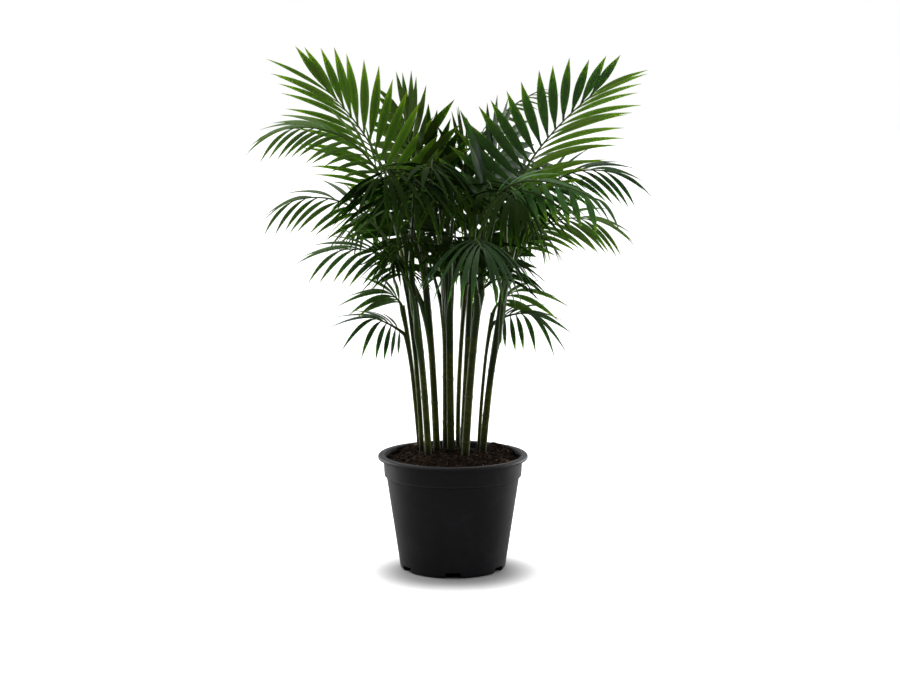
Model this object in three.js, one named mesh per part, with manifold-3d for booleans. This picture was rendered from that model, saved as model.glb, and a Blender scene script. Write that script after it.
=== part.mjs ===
// A potted palm: a clump of ringed canes in a black nursery pot of potting soil, each cane carrying
// its own feather fronds. Millimetres, +Z up, the origin on the floor under the middle of the pot.
// X runs to the right, Y to the back. Headings are degrees from +X towards +Y.
import * as THREE from "three";
import { mergeVertices } from "three/addons/utils/BufferGeometryUtils.js";
import Module from "manifold-3d";

const wasm = await Module();
wasm.setup();

// ---------------------------------------------------------------- driving dimensions
const GAP = 0.3; // between pieces that touch

const POT = {
  height: 215,
  rimRadius: 140,
  rimHeight: 8,
  mouthRadius: 127,
  collarRadius: 130,
  collarHeight: 31,
  step: 6, // how far the wall steps in under the collar
  footRadius: 98,
  footRounding: 6,
  wall: 2.4,
  baseLift: 11, // the underside of the base plate above the floor
  sides: 40,
};
const NOTCH = { count: 6, width: 28, height: 11, depth: 22 };
const DRAIN = { radius: 6, reach: 74 };

const SOIL = { edge: 197, mound: 214, bump: 2.6, rings: 3, sides: 20 };

const CANE = { buried: 42, sides: 7, scarEvery: 85, scarSwell: 1.1, taper: 0.18, bareTop: 20 };

const STALK = { offset: 0.6, root: 4.2, tip: 1.0, sides: 4, segments: 7 };
const LEAFLET = {
  widest: 0.42, // where along its length a leaflet is widest
  thickness: 1.2,
  stagger: 0.35, // how far one side's leaflets sit behind the other's, in pairs
  firstShort: 0.2, // how much shorter the very first ones are
  wobble: { spread: 3, lift: 4, length: 0.05 }, // degrees, degrees and a share
};
const TURNS = [0, 9, -9, 18, -18, 27, -27, 38, -38]; // degrees a leaflet may turn aside

// Canes: where each leaves the soil, the point it bends towards, its top, its radius, and the height
// of one of its old leaf scars.
const CANES = {
  a: { foot: [-60, 78], bend: [-76, 84, 380], top: [-95, 94, 482], radius: 4.6, scar: 309 },
  b: { foot: [-57, 46], bend: [-66, 50, 420], top: [-96, 52, 590], radius: 4.8, scar: 324 },
  c: { foot: [-44, -6], bend: [-52, -14, 400], top: [-84, -30, 600], radius: 6.6, scar: 324 },
  d: { foot: [-29, 24], bend: [-36, 20, 420], top: [-58, 14, 600], radius: 6.8, scar: 309 },
  e: { foot: [-15, 62], bend: [-12, 72, 420], top: [-20, 92, 610], radius: 5.6, scar: 349 },
  f: { foot: [-3, 30], bend: [-7, 22, 420], top: [-7, 8, 590], radius: 7.2, scar: 352 },
  g: { foot: [10, 74], bend: [6, 84, 380], top: [34, 104, 600], radius: 4.6, scar: 326 },
  h: { foot: [21, -18], bend: [30, -30, 400], top: [58, -48, 600], radius: 7.8, scar: 328 },
  i: { foot: [16, 34], bend: [28, 40, 420], top: [36, 44, 610], radius: 6.0, scar: 340 },
  j: { foot: [47, 58], bend: [54, 66, 360], top: [74, 82, 470], radius: 3.6, scar: 300 },
  k: { foot: [53, 20], bend: [68, 22, 400], top: [110, 26, 590], radius: 6.8, scar: 368 },
};

// Fronds: the cane, the height at which the stalk leaves it, the point the stalk bends towards, and
// the stalk's tip. What a row leaves out is as in USUAL. low and high hold what differs on the side
// that the roll turns down and on the other side.
const USUAL = {
  bare: 0.5, // the share of the stalk below the first leaflet
  pairs: 9,
  leaflet: 125, // longest leaflet
  fade: [0.3, 2], // how much shorter the last leaflets are, and how late that sets in
  width: 13,
  spread: [84, 14], // leaflet angle from the stalk at the first and last pair
  ease: 1.6, // how late that angle closes
  lift: -10, // how far the leaflets stand above the blade's plane
  tilt: 6, // how far each leaflet is turned about its own middle line
  roll: 0, // how far the blade is turned about the stalk
  sag: [0.7, 0.7], // how far the first and last leaflets bend towards the floor
  sweep: 0.1, // and towards the frond's tip
  low: {},
  high: {},
};
// A large frond that shows its whole face.
const FACING = {
  bare: 0.4,
  pairs: 12,
  lift: 12,
  low: { spread: [34, 10], leaflet: 188, width: 10.5, sag: [0.6, 0.22] },
  high: { spread: [64, 9], leaflet: 150, width: 18, sag: [0.12, 0.05], fade: [0.3, 3] },
};
// A frond seen from its side, whose leaflets hang below its stalk and arch above it.
const ARCH = {
  bare: 0.4,
  pairs: 10,
  low: { spread: [48, 14], leaflet: 92, width: 9, sag: [0.45, 0.5], lift: -26, fade: [0.1, 2] },
  high: { spread: [38, 14], leaflet: 110, width: 10, sag: [0.6, 0.6], lift: 12 },
};
// A small low frond whose leaflets spread like fingers.
const FAN = {
  bare: 0.25,
  pairs: 6,
  low: { spread: [105, 10], leaflet: 66, width: 10, sag: [0.35, 1.1], lift: -20, fade: [0, 1] },
  high: { spread: [60, 8], leaflet: 76, width: 13, sag: [0.9, 1.2], lift: 8, fade: [0, 1] },
};
// A still smaller one, of a few long leaflets.
const TUFT = {
  bare: 0.35,
  pairs: 4,
  low: { spread: [50, 8], leaflet: 90, width: 11, sag: [0.6, 0.9], lift: -10, fade: [0, 1] },
  high: { spread: [44, 6], leaflet: 68, width: 12, sag: [0.8, 1], lift: 8, fade: [0, 1] },
};
// A frond inside the crown that shows its face between the others.
const INNER = {
  bare: 0.4,
  pairs: 10,
  lift: 8,
  width: 19,
  low: { spread: [60, 20], leaflet: 140, sag: [0.45, 0.3] },
  high: { spread: [66, 14], leaflet: 140, sag: [0.25, 0.1] },
};
const FRONDS = {
  // towards the left
  b1: {
    ...FACING,
    cane: "b",
    at: 535,
    via: [-83, 55, 737],
    tip: [-227, 20, 885],
    pairs: 14,
    roll: -75,
    bare: 0.33,
  },
  c1: {
    ...ARCH,
    cane: "c",
    at: 500,
    via: [-106, -50, 850],
    tip: [-292, -80, 822],
    pairs: 12,
    roll: -34,
    high: { spread: [34, 14], leaflet: 116, width: 11, sag: [0.5, 0.6], lift: 12 },
  },
  d1: {
    ...ARCH,
    cane: "d",
    at: 470,
    via: [-145, 40, 732],
    tip: [-302, 50, 682],
    pairs: 9,
    roll: -34,
    high: { spread: [40, 14], leaflet: 115, width: 13, sag: [0.7, 0.6], lift: 6 },
  },
  c2: {
    ...ARCH,
    cane: "c",
    at: 450,
    via: [-68, -60, 619],
    tip: [-204, -110, 607],
    pairs: 8,
    roll: -34,
  },
  a1: { ...TUFT, cane: "a", at: 478, via: [-99, 94, 492], tip: [-116, 90, 504], roll: -34 },
  a2: { ...FAN, cane: "a", at: 425, via: [-112, 78, 448], tip: [-146, 62, 461], roll: -34 },
  // towards the right
  k1: {
    ...FACING,
    cane: "k",
    at: 560,
    via: [56, 10, 714],
    tip: [258, 20, 883],
    pairs: 16,
    roll: 75,
    bare: 0.3,
    low: { spread: [34, 6], leaflet: 178, width: 10.5, sag: [0.6, 0.22], fade: [0.4, 3] },
    high: { spread: [78, 14], ease: 2.5, leaflet: 176, width: 19, sag: [0.1, 0], fade: [0.45, 1] },
  },
  k2: { cane: "k", at: 520, via: [110, 120, 720], tip: [170, 217, 740] },
  h1: {
    ...ARCH,
    cane: "h",
    at: 530,
    via: [24, -105, 815],
    tip: [257, -180, 700],
    roll: 34,
    low: { spread: [60, 34], leaflet: 96, width: 13, sag: [0.45, 0.5], lift: -26, fade: [0.25, 1] },
    high: { spread: [38, 18], leaflet: 84, width: 12, sag: [0.7, 0.9], lift: 8 },
  },
  k3: { ...ARCH, cane: "k", at: 480, via: [124, 10, 784], tip: [297, -10, 738], roll: 34 },
  k4: {
    ...ARCH,
    cane: "k",
    at: 440,
    via: [106, 0, 690],
    tip: [262, -40, 653],
    pairs: 12,
    roll: 34,
    low: { spread: [44, 14], leaflet: 98, width: 8.5, sag: [0.45, 0.45], lift: -26, fade: [0.1, 2] },
  },
  j2: { ...TUFT, cane: "j", at: 466, via: [80, 88, 490], tip: [112, 84, 508], roll: 34 },
  j1: { ...FAN, cane: "j", at: 446, via: [98, 68, 472], tip: [140, 50, 472], roll: 34 },
  // towards the front
  h2: {
    cane: "h",
    at: 500,
    via: [22, -130, 672],
    tip: [50, -250, 622],
    bare: 0.6,
    width: 12,
    lift: -4,
    sag: [0.85, 0.85],
  },
  c3: { cane: "c", at: 560, via: [-66, -110, 790], tip: [-70, -210, 715] },
  d2: { cane: "d", at: 560, via: [-112, -90, 805], tip: [-120, -200, 740] },
  f1: { cane: "f", at: 515, via: [-40, -40, 840], tip: [-38, -130, 744] },
  d3: { cane: "d", at: 500, via: [-66, -70, 668], tip: [-84, -150, 625], leaflet: 95, width: 9 },
  h3: { cane: "h", at: 570, via: [90, -80, 760], tip: [112, -170, 700] },
  f2: { cane: "f", at: 575, via: [5, -20, 750], tip: [6, -110, 712] },
  c4: { cane: "c", at: 596, via: [-60, -50, 760], tip: [-40, -130, 755] },
  i4: { cane: "i", at: 595, via: [50, -20, 770], tip: [70, -110, 715] },
  b3: { cane: "b", at: 515, via: [-90, -20, 730], tip: [-125, -90, 735] },
  f4: { cane: "f", at: 470, via: [-6, -50, 650], tip: [2, -115, 630], leaflet: 105 },
  i6: { cane: "i", at: 490, via: [36, -10, 640], tip: [30, -100, 615], leaflet: 105 },
  b4: { cane: "b", at: 450, via: [-95, -20, 600], tip: [-110, -120, 592], leaflet: 85, width: 9 },
  k5: { cane: "k", at: 415, via: [92, -30, 590], tip: [102, -110, 590], leaflet: 85, width: 10 },
  // upright
  h4: { ...INNER, cane: "h", at: 590, via: [50, 0, 690], tip: [90, 60, 790], roll: 75 },
  e1: {
    cane: "e",
    at: 560,
    via: [-10, 110, 810],
    tip: [165, 150, 885],
    pairs: 16,
    leaflet: 60,
    width: 7,
    lift: 5,
  },
  d4: { ...INNER, cane: "d", at: 590, via: [-66, 80, 740], tip: [-90, 100, 830], roll: -75 },
  i1: { cane: "i", at: 560, via: [0, 85, 780], tip: [-10, 214, 785] },
  // inside the crown
  e5: { ...INNER, cane: "e", at: 470, via: [-50, 130, 610], tip: [-110, 150, 690], roll: -75 },
  g4: { ...INNER, cane: "g", at: 520, via: [60, 130, 620], tip: [100, 150, 700], roll: 75 },
  i5: { ...INNER, cane: "i", at: 520, via: [34, 110, 670], tip: [25, 130, 768], roll: 60 },
  f3: { ...INNER, cane: "f", at: 480, via: [-30, 60, 640], tip: [-50, 80, 765], roll: -75 },
  f5: { ...INNER, cane: "f", at: 430, via: [4, 64, 560], tip: [6, 136, 690] },
  i7: { ...INNER, cane: "i", at: 450, via: [60, 100, 560], tip: [76, 130, 672], roll: 70 },
  // towards the back
  e2: { cane: "e", at: 590, via: [-30, 175, 830], tip: [-50, 244, 760] },
  g1: { cane: "g", at: 590, via: [50, 175, 830], tip: [90, 246, 738] },
  e3: { cane: "e", at: 540, via: [-70, 155, 800], tip: [-120, 250, 700] },
  i2: { cane: "i", at: 540, via: [90, 150, 800], tip: [130, 228, 715] },
  g2: { cane: "g", at: 500, via: [50, 180, 660], tip: [70, 260, 600] },
  e4: { cane: "e", at: 490, via: [-30, 180, 660], tip: [-60, 252, 600] },
  g5: { cane: "g", at: 470, via: [12, 150, 590], tip: [14, 210, 565], leaflet: 95 },
  i3: { cane: "i", at: 596, via: [110, 110, 700], tip: [150, 220, 630] },
  g3: { cane: "g", at: 570, via: [95, 110, 740], tip: [160, 140, 750] },
  b2: { cane: "b", at: 560, via: [-120, 120, 720], tip: [-160, 210, 640] },
};

// ---------------------------------------------------------------- helpers
const rad = THREE.MathUtils.degToRad;
const lerp = THREE.MathUtils.lerp;
const vec = (x, y, z) => new THREE.Vector3(x, y, z);

/** A closed three.js geometry as a manifold-3d solid. */
function solidOf(geometry) {
  geometry.deleteAttribute("normal");
  geometry.deleteAttribute("uv");
  const merged = mergeVertices(geometry, 1e-4);
  return new wasm.Manifold(
    new wasm.Mesh({
      numProp: 3,
      vertProperties: merged.attributes.position.array,
      triVerts: new Uint32Array(merged.index.array),
    }),
  );
}

/** A manifold-3d solid back as a three.js geometry with flat faces. */
function geometryOf(solid) {
  const mesh = solid.getMesh();
  const geometry = new THREE.BufferGeometry();
  geometry.setAttribute("position", new THREE.BufferAttribute(mesh.vertProperties, mesh.numProp));
  geometry.setIndex(new THREE.BufferAttribute(mesh.triVerts, 1));
  const flat = geometry.toNonIndexed();
  flat.computeVertexNormals();
  return flat;
}

/** A number from -1 to 1 that is the same each time for the same two seeds. */
function noise(a, b) {
  const wave = Math.sin(a * 12.9898 + b * 78.233) * 43758.5453;
  return 2 * (wave - Math.floor(wave)) - 1;
}

/** Moves a cylinder or cone of radius 1 and height 1 onto a path.
 *  at(t) gives the path's point, side and up, and size(t) the half width and half height. */
function along(shape, at, size) {
  const position = shape.attributes.position;
  for (let i = 0; i < position.count; i++) {
    const t = position.getY(i) + 0.5;
    const across = vec(position.getX(i), 0, position.getZ(i));
    const { point, side, up } = at(t);
    const [width, height] = size(t);
    if (across.length() > 1e-6) across.normalize();
    const moved = point
      .clone()
      .addScaledVector(side, across.x * width)
      .addScaledVector(up, across.z * height);
    position.setXYZ(i, moved.x, moved.y, moved.z);
  }
  return shape;
}

// ---------------------------------------------------------------- pot
/** The pot's wall as one closed outline, from the foot's inside up the outside and down the inside. */
function potOutline() {
  const { height, rimRadius, rimHeight, mouthRadius, collarRadius, collarHeight } = POT;
  const { step, footRadius, footRounding, wall, baseLift } = POT;
  const rimFoot = height - rimHeight;
  const collarFoot = rimFoot - collarHeight;
  const bodyTop = collarRadius - step;
  const baseTop = baseLift + wall;
  return [
    [0, baseLift],
    [footRadius - footRounding - wall - 4, baseLift],
    [footRadius - footRounding - wall - 2, 0],
    [footRadius - footRounding, 0],
    [footRadius - 1.5, 2.5],
    [footRadius, footRounding + 2],
    [bodyTop, collarFoot - 3],
    [collarRadius - 2, collarFoot],
    [collarRadius, rimFoot - 1.5],
    [rimRadius - 1.5, rimFoot],
    [rimRadius, rimFoot + 2],
    [rimRadius - 1, height - 2],
    [rimRadius - 4, height],
    [mouthRadius + 2, height],
    [mouthRadius, height - 2],
    [collarRadius - 2 - wall, collarFoot + wall],
    [bodyTop - wall, collarFoot - 4],
    [footRadius - wall, baseTop + 3],
    [footRadius - wall - 3, baseTop],
    [0, baseTop],
  ];
}

function makePot() {
  const outline = potOutline().map(([r, z]) => new THREE.Vector2(r, z));
  const bowl = new THREE.LatheGeometry(outline, POT.sides).rotateX(Math.PI / 2);
  let pot = solidOf(bowl);
  for (let i = 0; i < NOTCH.count; i++) {
    const turn = -Math.PI / 2 + (i * 2 * Math.PI) / NOTCH.count;
    const notch = new THREE.BoxGeometry(NOTCH.depth, NOTCH.width, 2 * NOTCH.height)
      .translate(POT.footRadius, 0, 0)
      .rotateZ(turn);
    const drain = new THREE.CylinderGeometry(DRAIN.radius, DRAIN.radius, 4 * POT.wall, 10)
      .rotateX(Math.PI / 2)
      .translate(DRAIN.reach, 0, POT.baseLift + POT.wall / 2)
      .rotateZ(turn);
    pot = pot.subtract(solidOf(notch)).subtract(solidOf(drain));
  }
  return pot;
}

// ---------------------------------------------------------------- soil
/** The height of the soil's surface at a radius and a heading: a low mound with small bumps. */
function soilHeight(radius, angle) {
  const share = Math.min(1, radius / POT.mouthRadius);
  const mound = lerp(SOIL.mound, SOIL.edge, THREE.MathUtils.smoothstep(share, 0.3, 1));
  const wave = Math.sin(3 * angle + radius / 17) + Math.sin(5 * angle - radius / 11 + 1);
  return mound + (SOIL.bump / 2) * wave * (1 - share ** 6);
}

function makeSoil(canes) {
  const { baseLift, wall, footRadius, collarRadius, rimHeight, collarHeight, height, step } = POT;
  const floor = baseLift + wall + GAP;
  const collarFoot = height - rimHeight - collarHeight;
  const outline = [
    [0, floor],
    [footRadius - wall - 3.4, floor],
    [footRadius - wall - GAP - 0.3, floor + 3],
    [collarRadius - step - wall - GAP - 0.3, collarFoot - 4.2],
    [collarRadius - 2.6 - wall - GAP, collarFoot + wall],
    [POT.mouthRadius - 0.9, SOIL.edge],
  ];
  for (let ring = SOIL.rings; ring > 0; ring--) {
    outline.push([((POT.mouthRadius - 6) * ring) / SOIL.rings, SOIL.edge + 0.1]);
  }
  outline.push([0, SOIL.edge + 0.1]);
  const points = outline.map(([r, z]) => new THREE.Vector2(r, z));
  const shape = new THREE.LatheGeometry(points, SOIL.sides).rotateX(Math.PI / 2);
  const position = shape.attributes.position;
  for (let i = 0; i < position.count; i++) {
    const [x, y, z] = [position.getX(i), position.getY(i), position.getZ(i)];
    if (z > SOIL.edge) position.setZ(i, soilHeight(Math.hypot(x, y), Math.atan2(y, x)));
  }
  return solidOf(shape).subtract(canes);
}

// ---------------------------------------------------------------- canes
const CURVES = Object.fromEntries(
  Object.entries(CANES).map(([name, { foot, bend, top }]) => [
    name,
    new THREE.QuadraticBezierCurve3(
      vec(foot[0], foot[1], SOIL.mound - CANE.buried),
      vec(...bend),
      vec(...top),
    ),
  ]),
);

/** Where the cane's middle line is, with a frame across it. */
function caneAt(name, t) {
  const tangent = CURVES[name].getTangent(t);
  const side = vec(0, 1, 0).cross(tangent).normalize();
  return { point: CURVES[name].getPoint(t), side, up: side.clone().cross(tangent) };
}

/** How far along the cane's curve a height is, found by halving. */
function shareAt(name, height) {
  let [low, high] = [0, 1];
  for (let i = 0; i < 24; i++) {
    const middle = (low + high) / 2;
    if (CURVES[name].getPoint(middle).z < height) low = middle;
    else high = middle;
  }
  return low;
}

/** A cane's stops from its foot to its top: the share of its curve, and how much it swells there. */
function caneStops(name) {
  const { scar, top } = CANES[name];
  const every = CANE.scarEvery;
  const first = scar - every * Math.floor((scar - SOIL.mound) / every);
  const stops = [[0, 1]];
  for (let height = first; height < top[2] - CANE.bareTop; height += every) {
    stops.push([shareAt(name, height - every / 2), 1]);
    stops.push([shareAt(name, height), CANE.scarSwell]);
  }
  return [...stops, [1, 1]];
}

/** A cane, a little thicker at each old leaf scar. grow makes it fatter by so many millimetres. */
function makeCane(name, grow = 0) {
  const stops = caneStops(name);
  const stopAt = (t) => stops[Math.round(t * (stops.length - 1))];
  const shape = new THREE.CylinderGeometry(1, 1, 1, CANE.sides, stops.length - 1);
  return solidOf(
    along(
      shape,
      (t) => caneAt(name, stopAt(t)[0]),
      (t) => {
        const [share, swell] = stopAt(t);
        const r = CANES[name].radius * swell * (1 - CANE.taper * share) + grow;
        return [r, r];
      },
    ),
  );
}

// ---------------------------------------------------------------- fronds
/** The stalk of a frond: a function from 0 at the cane to 1 at the tip. */
function stalkOf(frond) {
  const middle = CURVES[frond.cane].getPoint(shareAt(frond.cane, frond.at));
  const heading = Math.atan2(frond.tip[1] - middle.y, frond.tip[0] - middle.x);
  const outwards = vec(Math.cos(heading), Math.sin(heading), 0);
  const start = middle.addScaledVector(outwards, STALK.offset * CANES[frond.cane].radius);
  const curve = new THREE.QuadraticBezierCurve3(start, vec(...frond.via), vec(...frond.tip));
  const level = vec(Math.sin(heading), -Math.cos(heading), 0);
  return (s) => {
    const tangent = curve.getTangent(s);
    const side = level
      .clone()
      .addScaledVector(tangent, -level.dot(tangent))
      .normalize()
      .applyAxisAngle(tangent, rad(frond.roll));
    return { point: curve.getPoint(s), tangent, side, up: side.clone().cross(tangent) };
  };
}

/** One leaflet: its middle line bends from its own direction towards the floor and the frond's tip. */
function leafletOf(frond, index, hand, turn) {
  const row = { ...frond, ...(hand * frond.roll > 0 ? frond.low : frond.high) };
  const u = index / (frond.pairs - 1);
  const { stagger, firstShort, wobble } = LEAFLET;
  const s = lerp(frond.bare, 1, (index + (hand > 0 ? stagger : 0)) / (frond.pairs - 1 + stagger));
  const { point, tangent, side, up } = frond.stalk(s);
  const chance = (k) => noise(frond.seed + k, (index + 1) * hand);
  const spread = rad(lerp(...row.spread, u ** row.ease) + wobble.spread * chance(1));
  const lift = rad(row.lift + turn + wobble.lift * chance(2));
  const out = side.clone().multiplyScalar(hand * Math.cos(lift)).addScaledVector(up, Math.sin(lift));
  const start = tangent.clone().multiplyScalar(Math.cos(spread)).addScaledVector(out, Math.sin(spread));
  const [fade, power] = row.fade;
  const share = 1 - fade * u ** power - firstShort * (1 - u) ** 6;
  const length = row.leaflet * share * (1 + wobble.length * chance(3));
  const bend = tangent.clone().multiplyScalar(row.sweep);
  bend.z -= lerp(...row.sag, u);
  bend.addScaledVector(start, -bend.dot(start));
  const edge = tangent.clone().addScaledVector(start, -tangent.dot(start));
  edge.multiplyScalar(-hand).normalize();
  const at = (t) => {
    const heading = start.clone().addScaledVector(bend, 2 * t).normalize();
    const blade = edge
      .clone()
      .addScaledVector(heading, -edge.dot(heading))
      .normalize()
      .applyAxisAngle(heading, rad(row.tilt * hand));
    return {
      point: point.clone().addScaledVector(start, length * t).addScaledVector(bend, length * t * t),
      side: blade,
      up: blade.clone().cross(heading),
    };
  };
  return { at, width: row.width * (0.8 + 0.2 * Math.sin(Math.PI * u)) };
}

/** A leaflet's solid: pointed at both ends, with its keel on the upper side. */
function makeLeaflet({ at, width }) {
  const shape = new THREE.SphereGeometry(1, 3, 2).scale(1, 0.5, 1).rotateY(Math.PI / 2);
  const halfWidth = width / 2 / Math.sin(Math.PI / 3);
  const place = (t) => (t > 0.25 && t < 0.75 ? LEAFLET.widest : Math.round(t));
  return solidOf(
    along(
      shape,
      (t) => at(place(t)),
      () => [halfWidth, LEAFLET.thickness],
    ),
  );
}

function makeStalk(stalk) {
  const shape = new THREE.CylinderGeometry(1, 1, 1, STALK.sides, STALK.segments);
  return solidOf(
    along(shape, stalk, (t) => {
      const r = lerp(STALK.root, STALK.tip, t ** 0.7);
      return [r, r];
    }),
  );
}

/** The largest of a solid's bodies, without crumbs or closed hollows. */
function mainBody(solid) {
  const bodies = solid.decompose();
  return bodies.reduce((best, body) => (body.volume() > best.volume() ? body : best));
}

const overlaps = (a, b) => {
  const [p, q] = [a.boundingBox(), b.boundingBox()];
  for (let k = 0; k < 3; k++) if (p.min[k] > q.max[k] || q.min[k] > p.max[k]) return false;
  return a.minGap(b, 1) < GAP;
};

/** The first of a leaflet's turns at which it is clear of all the others, or nothing. */
function leafletClearOf(others, frond, index, hand) {
  for (const turn of TURNS) {
    const leaflet = makeLeaflet(leafletOf(frond, index, hand, turn));
    if (!others.some((other) => overlaps(leaflet, other))) return leaflet;
  }
  return null;
}

/** A frond's stalk with all the leaflets that find room. */
function withLeaflets(frond, others) {
  let solid = frond.solid;
  for (let index = 0; index < frond.pairs; index++) {
    for (const hand of [-1, 1]) {
      const leaflet = leafletClearOf(others, frond, index, hand);
      if (leaflet) solid = solid.add(leaflet);
    }
  }
  return solid;
}

// ---------------------------------------------------------------- the plant, put together
const COLOURS = {
  pot: [0x17181a, 0.55],
  soil: [0x2a1d15, 0.95],
  cane: [0x2f3d1e, 0.6],
  frond: [0x1f4a1c, 0.5],
};

const palm = new THREE.Group();
palm.name = "potted_palm";

function addPiece(name, solid, [colour, roughness]) {
  const material = new THREE.MeshStandardMaterial({ color: colour, roughness, metalness: 0 });
  const mesh = new THREE.Mesh(geometryOf(solid), material);
  mesh.name = name;
  palm.add(mesh);
}

const caneNames = Object.keys(CANES);
const canes = caneNames.map((name) => makeCane(name));
const room = wasm.Manifold.union(caneNames.map((name) => makeCane(name, GAP)));

addPiece("pot", makePot(), COLOURS.pot);
addPiece("soil", makeSoil(room), COLOURS.soil);
canes.forEach((cane, i) => addPiece(`cane_${caneNames[i]}`, cane, COLOURS.cane));

// Every stalk is placed before the first leaflet, so that the leaflets keep clear of them all.
const fronds = Object.entries(FRONDS).map(([name, row]) => {
  const frond = { ...USUAL, ...row, name, seed: name.charCodeAt(0) + 7 * name.charCodeAt(1) };
  frond.stalk = stalkOf(frond);
  frond.solid = makeStalk(frond.stalk).subtract(room);
  return frond;
});
for (const frond of fronds) {
  const others = [...canes, ...fronds.filter((other) => other !== frond).map((other) => other.solid)];
  frond.solid = mainBody(withLeaflets(frond, others).subtract(room));
  addPiece(`frond_${frond.name}`, frond.solid, COLOURS.frond);
}

export default palm;
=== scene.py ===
"""A potted palm: a clump of ringed canes with feather fronds, in a black nursery pot of potting soil.

Metres, +Z up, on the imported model's own axes. The rows of canes and fronds are in millimetres."""

import math

import bmesh
import bpy
from bpy.props import FloatProperty, FloatVectorProperty, IntProperty, PointerProperty
from mathutils import Euler, Matrix, Vector, noise
from mathutils.kdtree import KDTree


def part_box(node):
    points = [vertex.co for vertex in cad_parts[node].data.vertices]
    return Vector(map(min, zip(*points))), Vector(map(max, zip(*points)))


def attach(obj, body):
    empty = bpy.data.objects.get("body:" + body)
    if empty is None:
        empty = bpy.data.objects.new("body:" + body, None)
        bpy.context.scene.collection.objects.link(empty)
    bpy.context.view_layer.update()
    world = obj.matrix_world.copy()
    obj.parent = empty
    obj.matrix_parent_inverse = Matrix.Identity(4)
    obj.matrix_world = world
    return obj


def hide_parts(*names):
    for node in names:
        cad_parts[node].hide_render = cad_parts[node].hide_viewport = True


bl_info = {
    "name": "Potted palm",
    "version": (1, 0, 0),
    "blender": (4, 5, 0),
    "location": "View3D > Sidebar > Palm",
    "description": "Builds a clump of palm canes with feather fronds in a nursery pot",
    "category": "Object",
}

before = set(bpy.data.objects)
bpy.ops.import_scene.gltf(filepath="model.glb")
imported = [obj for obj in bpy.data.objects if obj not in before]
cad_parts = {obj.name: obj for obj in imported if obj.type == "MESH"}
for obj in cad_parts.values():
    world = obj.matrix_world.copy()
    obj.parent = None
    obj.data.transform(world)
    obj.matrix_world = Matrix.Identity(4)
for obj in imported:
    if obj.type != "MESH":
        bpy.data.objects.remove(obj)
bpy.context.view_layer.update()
POT_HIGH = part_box("pot")[1]

MM = 0.001
BODY = "root"

# ---------------------------------------------------------------- the plant's rows, as the frame has them
SOIL_MOUND = 214  # where the canes come out of the soil
CANE_BURIED = 42  # how far they go on below it
CANE_TAPER = 0.18  # how much thinner a cane is at its top, as a share
SCAR_EVERY = 85

# Canes: where each leaves the soil, the point it bends towards, its top, its radius, and the height
# of one of its old leaf scars.
CANES = {
    "a": dict(foot=(-60, 78), bend=(-76, 84, 380), top=(-95, 94, 482), radius=4.6, scar=309),
    "b": dict(foot=(-57, 46), bend=(-66, 50, 420), top=(-96, 52, 590), radius=4.8, scar=324),
    "c": dict(foot=(-44, -6), bend=(-52, -14, 400), top=(-84, -30, 600), radius=6.6, scar=324),
    "d": dict(foot=(-29, 24), bend=(-36, 20, 420), top=(-58, 14, 600), radius=6.8, scar=309),
    "e": dict(foot=(-15, 62), bend=(-12, 72, 420), top=(-20, 92, 610), radius=5.6, scar=349),
    "f": dict(foot=(-3, 30), bend=(-7, 22, 420), top=(-7, 8, 590), radius=7.2, scar=352),
    "g": dict(foot=(10, 74), bend=(6, 84, 380), top=(34, 104, 600), radius=4.6, scar=326),
    "h": dict(foot=(21, -18), bend=(30, -30, 400), top=(58, -48, 600), radius=7.8, scar=328),
    "i": dict(foot=(16, 34), bend=(28, 40, 420), top=(36, 44, 610), radius=6.0, scar=340),
    "j": dict(foot=(47, 58), bend=(54, 66, 360), top=(74, 82, 470), radius=3.6, scar=300),
    "k": dict(foot=(53, 20), bend=(68, 22, 400), top=(110, 26, 590), radius=6.8, scar=368),
}

# Fronds, each named after its cane: the height at which the stalk leaves the cane, the point that the
# stalk bends towards, and the stalk's tip. What a row leaves out is as in USUAL. low and high hold what
# differs on the side that the roll turns down and on the other side.
USUAL = dict(
    bare=0.5,  # the share of the stalk below the first leaflet
    pairs=9,
    leaflet=125,  # longest leaflet
    fade=(0.3, 2),  # how much shorter the last leaflets are, and how late that sets in
    width=13,
    spread=(84, 14),  # leaflet angle from the stalk at the first and last pair
    ease=1.6,  # how late that angle closes
    lift=-10,  # how far the leaflets stand above the blade's plane
    tilt=6,  # how far each leaflet is turned about its own middle line
    roll=0,  # how far the blade is turned about the stalk
    sag=(0.7, 0.7),  # how far the first and last leaflets bend towards the floor
    sweep=0.1,  # and towards the frond's tip
    fresh=0.35,  # from an old, bluish leaf, 0, to a fresh green one, 1
    # tone is painted light: a frond's colour is made darker in the crown's shade and lighter where it is
    # lit, and h1's high tone paints a sheen.
    tone=0.3,  # how light its colour is
    low={},
    high={},
)
# A large frond that shows its whole face.
FACING = dict(
    tone=1.1,
    bare=0.4,
    pairs=12,
    lift=12,
    low=dict(spread=(34, 10), leaflet=188, width=10.5, sag=(0.6, 0.22)),
    high=dict(spread=(64, 9), leaflet=150, width=18, sag=(0.12, 0.05), fade=(0.3, 3)),
)
# A frond seen from its side, whose leaflets hang below its stalk and arch above it.
ARCH = dict(
    tone=1,
    bare=0.4,
    pairs=10,
    low=dict(spread=(48, 14), leaflet=92, width=9, sag=(0.45, 0.5), lift=-26, fade=(0.1, 2)),
    high=dict(spread=(38, 14), leaflet=110, width=10, sag=(0.6, 0.6), lift=12),
)
# A small low frond whose leaflets spread like fingers.
FAN = dict(
    fresh=0.1,
    tone=1,
    bare=0.25,
    pairs=6,
    low=dict(spread=(105, 10), leaflet=66, width=10, sag=(0.35, 1.1), lift=-20, fade=(0, 1)),
    high=dict(spread=(60, 8), leaflet=76, width=13, sag=(0.9, 1.2), lift=8, fade=(0, 1)),
)
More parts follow.
